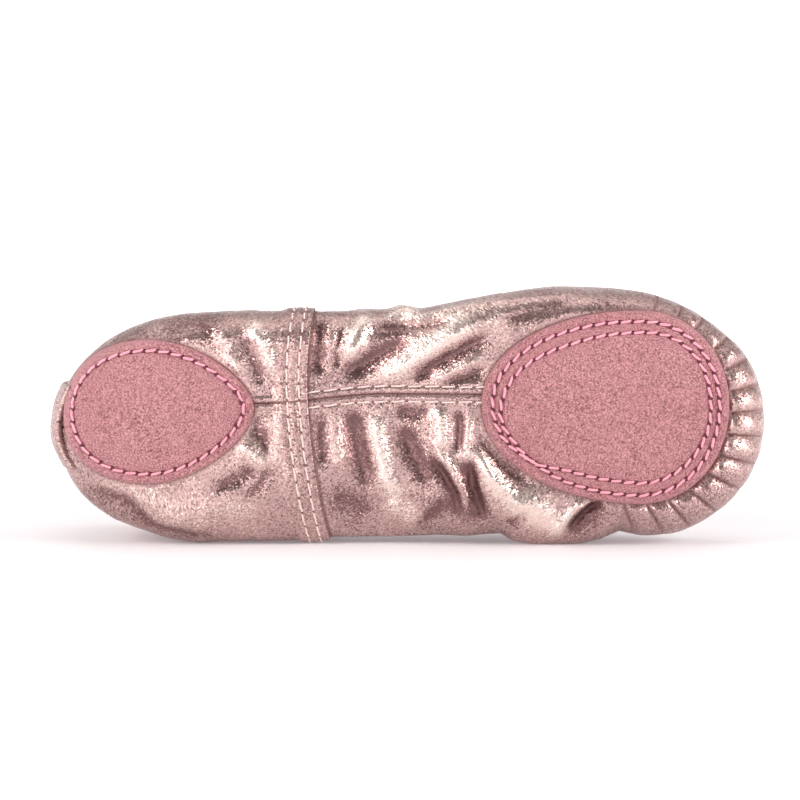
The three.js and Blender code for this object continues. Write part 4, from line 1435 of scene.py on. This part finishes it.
# %% A smooth curve
def smooth_curve(corners, steps):
    """A centripetal curve through its corners, as points evenly along it, and its length."""
    c = np.asarray(corners, float)
    c = np.vstack([2 * c[0] - c[1], c, 2 * c[-1] - c[-2]])
    made = []
    for i in range(1, len(c) - 2):
        p = c[i - 1: i + 3]
        knots = travel_along(p, 0.5)
        t = np.linspace(knots[1], knots[2], 40, endpoint=False)[:, None]

        def between(a, b, start, end):
            return a * (end - t) / (end - start) + b * (t - start) / (end - start)

        a1, a2, a3 = (between(p[k], p[k + 1], knots[k], knots[k + 1]) for k in range(3))
        b1, b2 = between(a1, a2, knots[0], knots[2]), between(a2, a3, knots[1], knots[3])
        made.append(between(b1, b2, knots[1], knots[2]))
    made = np.concatenate([*made, c[-2:-1]])
    travel = travel_along(made)
    even = np.linspace(0, travel[-1], steps)
    return np.stack([np.interp(even, travel, made[:, k]) for k in range(3)], -1), travel[-1]


_, bow_length = smooth_curve([(-10, 0, 0), (0, 10, 0), (10, 0, 0)], 9)
print("a bow 20 mm wide and 10 mm high is", round(float(bow_length), 1), "mm long")


# %% Where the straps are sewn
def line_at_share(share, side):
    """The angle of the pattern line that is nearest to a share of the topline, on one side."""
    angle = np.arange(48) * 2 * math.pi / 48
    on_side = np.where(side > 0, angle < math.pi, angle > math.pi) & (angle > 0)
    return angle[np.argmin(np.where(on_side, np.abs(topline_share(angle) - share), 9))]


strap_width, strap_ribs = 12, 1.1
rear_share, front_share = 0.38, 0.68
wall_face = -2.6 - strap_width**2 / (8 * 24) - 1 - 0.5
print("the straps lie", round(-wall_face, 2), "mm inside the rim")


def rim_place(share, side):
    """Gives points out from and up from one place on the rim."""
    top, out, up = (value[0] for value in rim_frame(np.array([line_at_share(share, side)])))
    return lambda outwards, upwards: top + out * outwards + up * upwards


# %% Strap
def strap(piece_name, back_side, lift):
    back, front = rim_place(rear_share, back_side), rim_place(front_share, -back_side)
    raised = np.array([0, lift, 0])
    back_rim, front_rim = back(wall_face, 5.0) + raised, front(wall_face, 5.0) + raised
    middle = (back_rim + front_rim) / 2 + [0, 7, 0]
    path, length = smooth_curve([back(wall_face, -13), back(wall_face, -6.5), back_rim, middle,
                                 front_rim, front(wall_face, -6.5), front(wall_face, -13)], 150)
    in_back, in_front = back(-1, 0) - back(0, 0), front(-1, 0) - front(0, 0)
    tangent = unit(np.gradient(path, axis=0))
    t = np.linspace(0, 1, len(path))[:, None]
    over = np.array([0, -1.0, 0])
    facing = np.where(t < 0.5, lerp(in_back, over, ease(t / 0.5)),
                      lerp(over, in_front, ease((t - 0.5) / 0.5)))
    across = unit(np.cross(facing, tangent))
    thick = np.cross(tangent, across)
    half, rim, flat = np.linspace(-5.6, 5.6, 15), 5.95, 0.42
    section = [(u, flat) for u in half] + [(rim, 0.15), (rim, -0.15)]
    section += [(-u, -flat) for u in half] + [(-rim, -0.15), (-rim, 0.15)]
    points = np.stack([path + across * u + thick * v for u, v in section], 1)
    count = len(section)
    faces = grid_faces(len(path), count, closed=True).tolist()
    faces += [list(range(count)), list(range((len(path) - 1) * count, len(path) * count))]
    ribs = np.tile([u * 2 * math.pi / strap_ribs for u, _ in section], len(path))
    made = make_piece(piece_name, points.reshape(-1, 3), faces, rose_elastic,
                      values=dict(rib=ribs))
    clean(made)
    print(piece_name, "is", round(float(length)), "mm long and", strap_width, "mm wide")
    return made


lower_strap = strap("lower_instep_elastic", 1, 0.0)
upper_strap = strap("upper_instep_elastic", -1, 1 + 0.2 * strap_width)

# %% [markdown]
# ## What moves with what
# The hinge of the imported model lies across the arch, at the cross seam. Cloth that crosses it
# stays where it was made, and the model's pieces that it covers are hidden. The patches are stiff
# enough to stay with their own half.

# %% Riding, and hiding the model's pieces
crossing = [
    (vamp_cloth, ["vamp"]),
    (quarter_right_cloth, ["quarter_right"]),
    (quarter_left_cloth, ["quarter_left"]),
    (lining, ["vamp_lining", "quarter_lining"]),
    (binding, ["vamp_binding", "quarter_binding"]),
    (elastic, ["topline_elastic"]),
    (lower_strap, ["instep_strap_lower"]),
    (upper_strap, ["instep_strap_upper"]),
    (binding_sewing, []),
    *[(piece, [node]) for piece, node in seam_rows],
]
for piece, nodes in crossing:
    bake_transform(piece)
    if nodes:
        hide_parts(*nodes)
riding = [
    (forefoot_patch, "forefoot_sole_patch", "forefoot"), (heel_patch, "heel_sole_patch", "heel"),
    (forefoot_pad, "forefoot_insole", "forefoot"), (heel_pad, "heel_insole", "heel"),
    (heel_tape, "heel_back_strip", "heel"), *patch_rows,
]
for piece, node, body in riding:
    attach(piece, body)
    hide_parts(node)
print(len(crossing), "pieces bend and", len(riding), "ride")

# %% [markdown]
# ## The studio
# Metallic cloth shows whatever is around it. A white floor lights the lower side, a large soft
# light hangs above, and the dark of the room behind the camera gives the folds their contrast.

# %% Floor
white = Finish("pale_floor", Base_Color=(0.90, 0.885, 0.91), Roughness=0.6,
               Specular_IOR_Level=0.1, Emission_Strength=1.0)
away = white.amount(white.node("ShaderNodeVectorMath", dict(operation="LENGTH"), white.place()), 1)
near_glow, far_glow = (0.15, 0.145, 0.152), (1.0, 0.985, 1.0)
white.set(Emission_Color=white.mix(away.within(0.11, 0.42), near_glow, far_glow))
floor_level = float(cad_low.z) - 0.00075
bpy.ops.mesh.primitive_plane_add(size=8, location=(0, 0, floor_level))
floor = bpy.context.object
floor.name = "floor"
floor.data.materials.append(white.material)
print("floor at", round(floor_level * 1000, 2), "mm")


# %% Lights
def soft_light(name, place, target, size, power, colour):
    data = bpy.data.lights.new(name, "AREA")
    data.shape, data.size, data.size_y, data.energy, data.color = "RECTANGLE", *size, power, colour
    made = put(name, data)
    made.location = place
    made.rotation_euler = (Vector(target) - Vector(place)).to_track_quat("-Z", "Y").to_euler()


soft_light("overhead_softbox", (0.0, 0.05, 0.75), (0, 0, 0.03), (0.9, 0.6), 1.4, (1, 0.975, 0.95))
soft_light("left_softbox", (-0.62, -0.42, 0.42), (0, 0, 0.03), (0.22, 0.5), 3.8, (1, 0.97, 0.92))
soft_light("right_strip", (0.70, -0.35, 0.30), (0.04, 0, 0.03), (0.25, 0.5), 4.2, (1, 0.97, 0.93))
soft_light("low_card", (-0.30, -0.50, 0.05), (-0.06, 0, 0.015), (0.5, 0.09), 0.65, (1, 0.98, 0.96))
print(len(bpy.data.lights), "lights")


# %% What the cloth mirrors
def grey_stops(*bands, tint=1.0):
    """The stops of a ramp: places with their levels of grey, tinted a little warm."""
    return dict(stops=[(place, (level, level * tint, level * tint)) for place, level in bands])


world = bpy.data.worlds.new("room")
bpy.context.scene.world = world
world.use_nodes = True
room = Network(world.node_tree)
direction = room.node("ShaderNodeTexCoord").outputs["Generated"]
sideways, forwards, upwards = room.node("ShaderNodeSeparateXYZ", None, direction).outputs
ahead = room.node("ShaderNodeMapRange", None, Value=forwards, From_Min=-0.35, From_Max=0.15)
width = room.node("ShaderNodeMapRange", None, Value=sideways, From_Min=-1.0)
height = room.node("ShaderNodeValToRGB", grey_stops(
    (0.0, 1.0), (0.10, 0.92), (0.20, 0.16), (0.60, 0.12), (0.85, 0.7), (1.0, 0.8), tint=0.97), upwards)
screens = room.node("ShaderNodeValToRGB", grey_stops(
    (0.0, 0.95), (0.12, 1.0), (0.22, 0.25), (0.36, 0.22), (0.46, 1.0), (0.58, 0.95), (0.70, 0.15),
    (0.80, 0.6), (0.90, 1.0), (1.0, 0.9)), width.outputs[0])
behind_camera = room.mix(1.0, height.outputs[0], screens.outputs[0], blend="MULTIPLY")
above = room.node("ShaderNodeValToRGB", dict(stops=[(0.22, (1, 1, 1)), (0.5, (0.42, 0.41, 0.41))]),
                  upwards)
background = world.node_tree.nodes["Background"]
room.plug(background.inputs["Color"], room.mix(ahead.outputs[0], behind_camera, above.outputs[0]))
room.plug(background.inputs["Strength"], 1.3)
print("the room has", len(world.node_tree.nodes), "nodes")
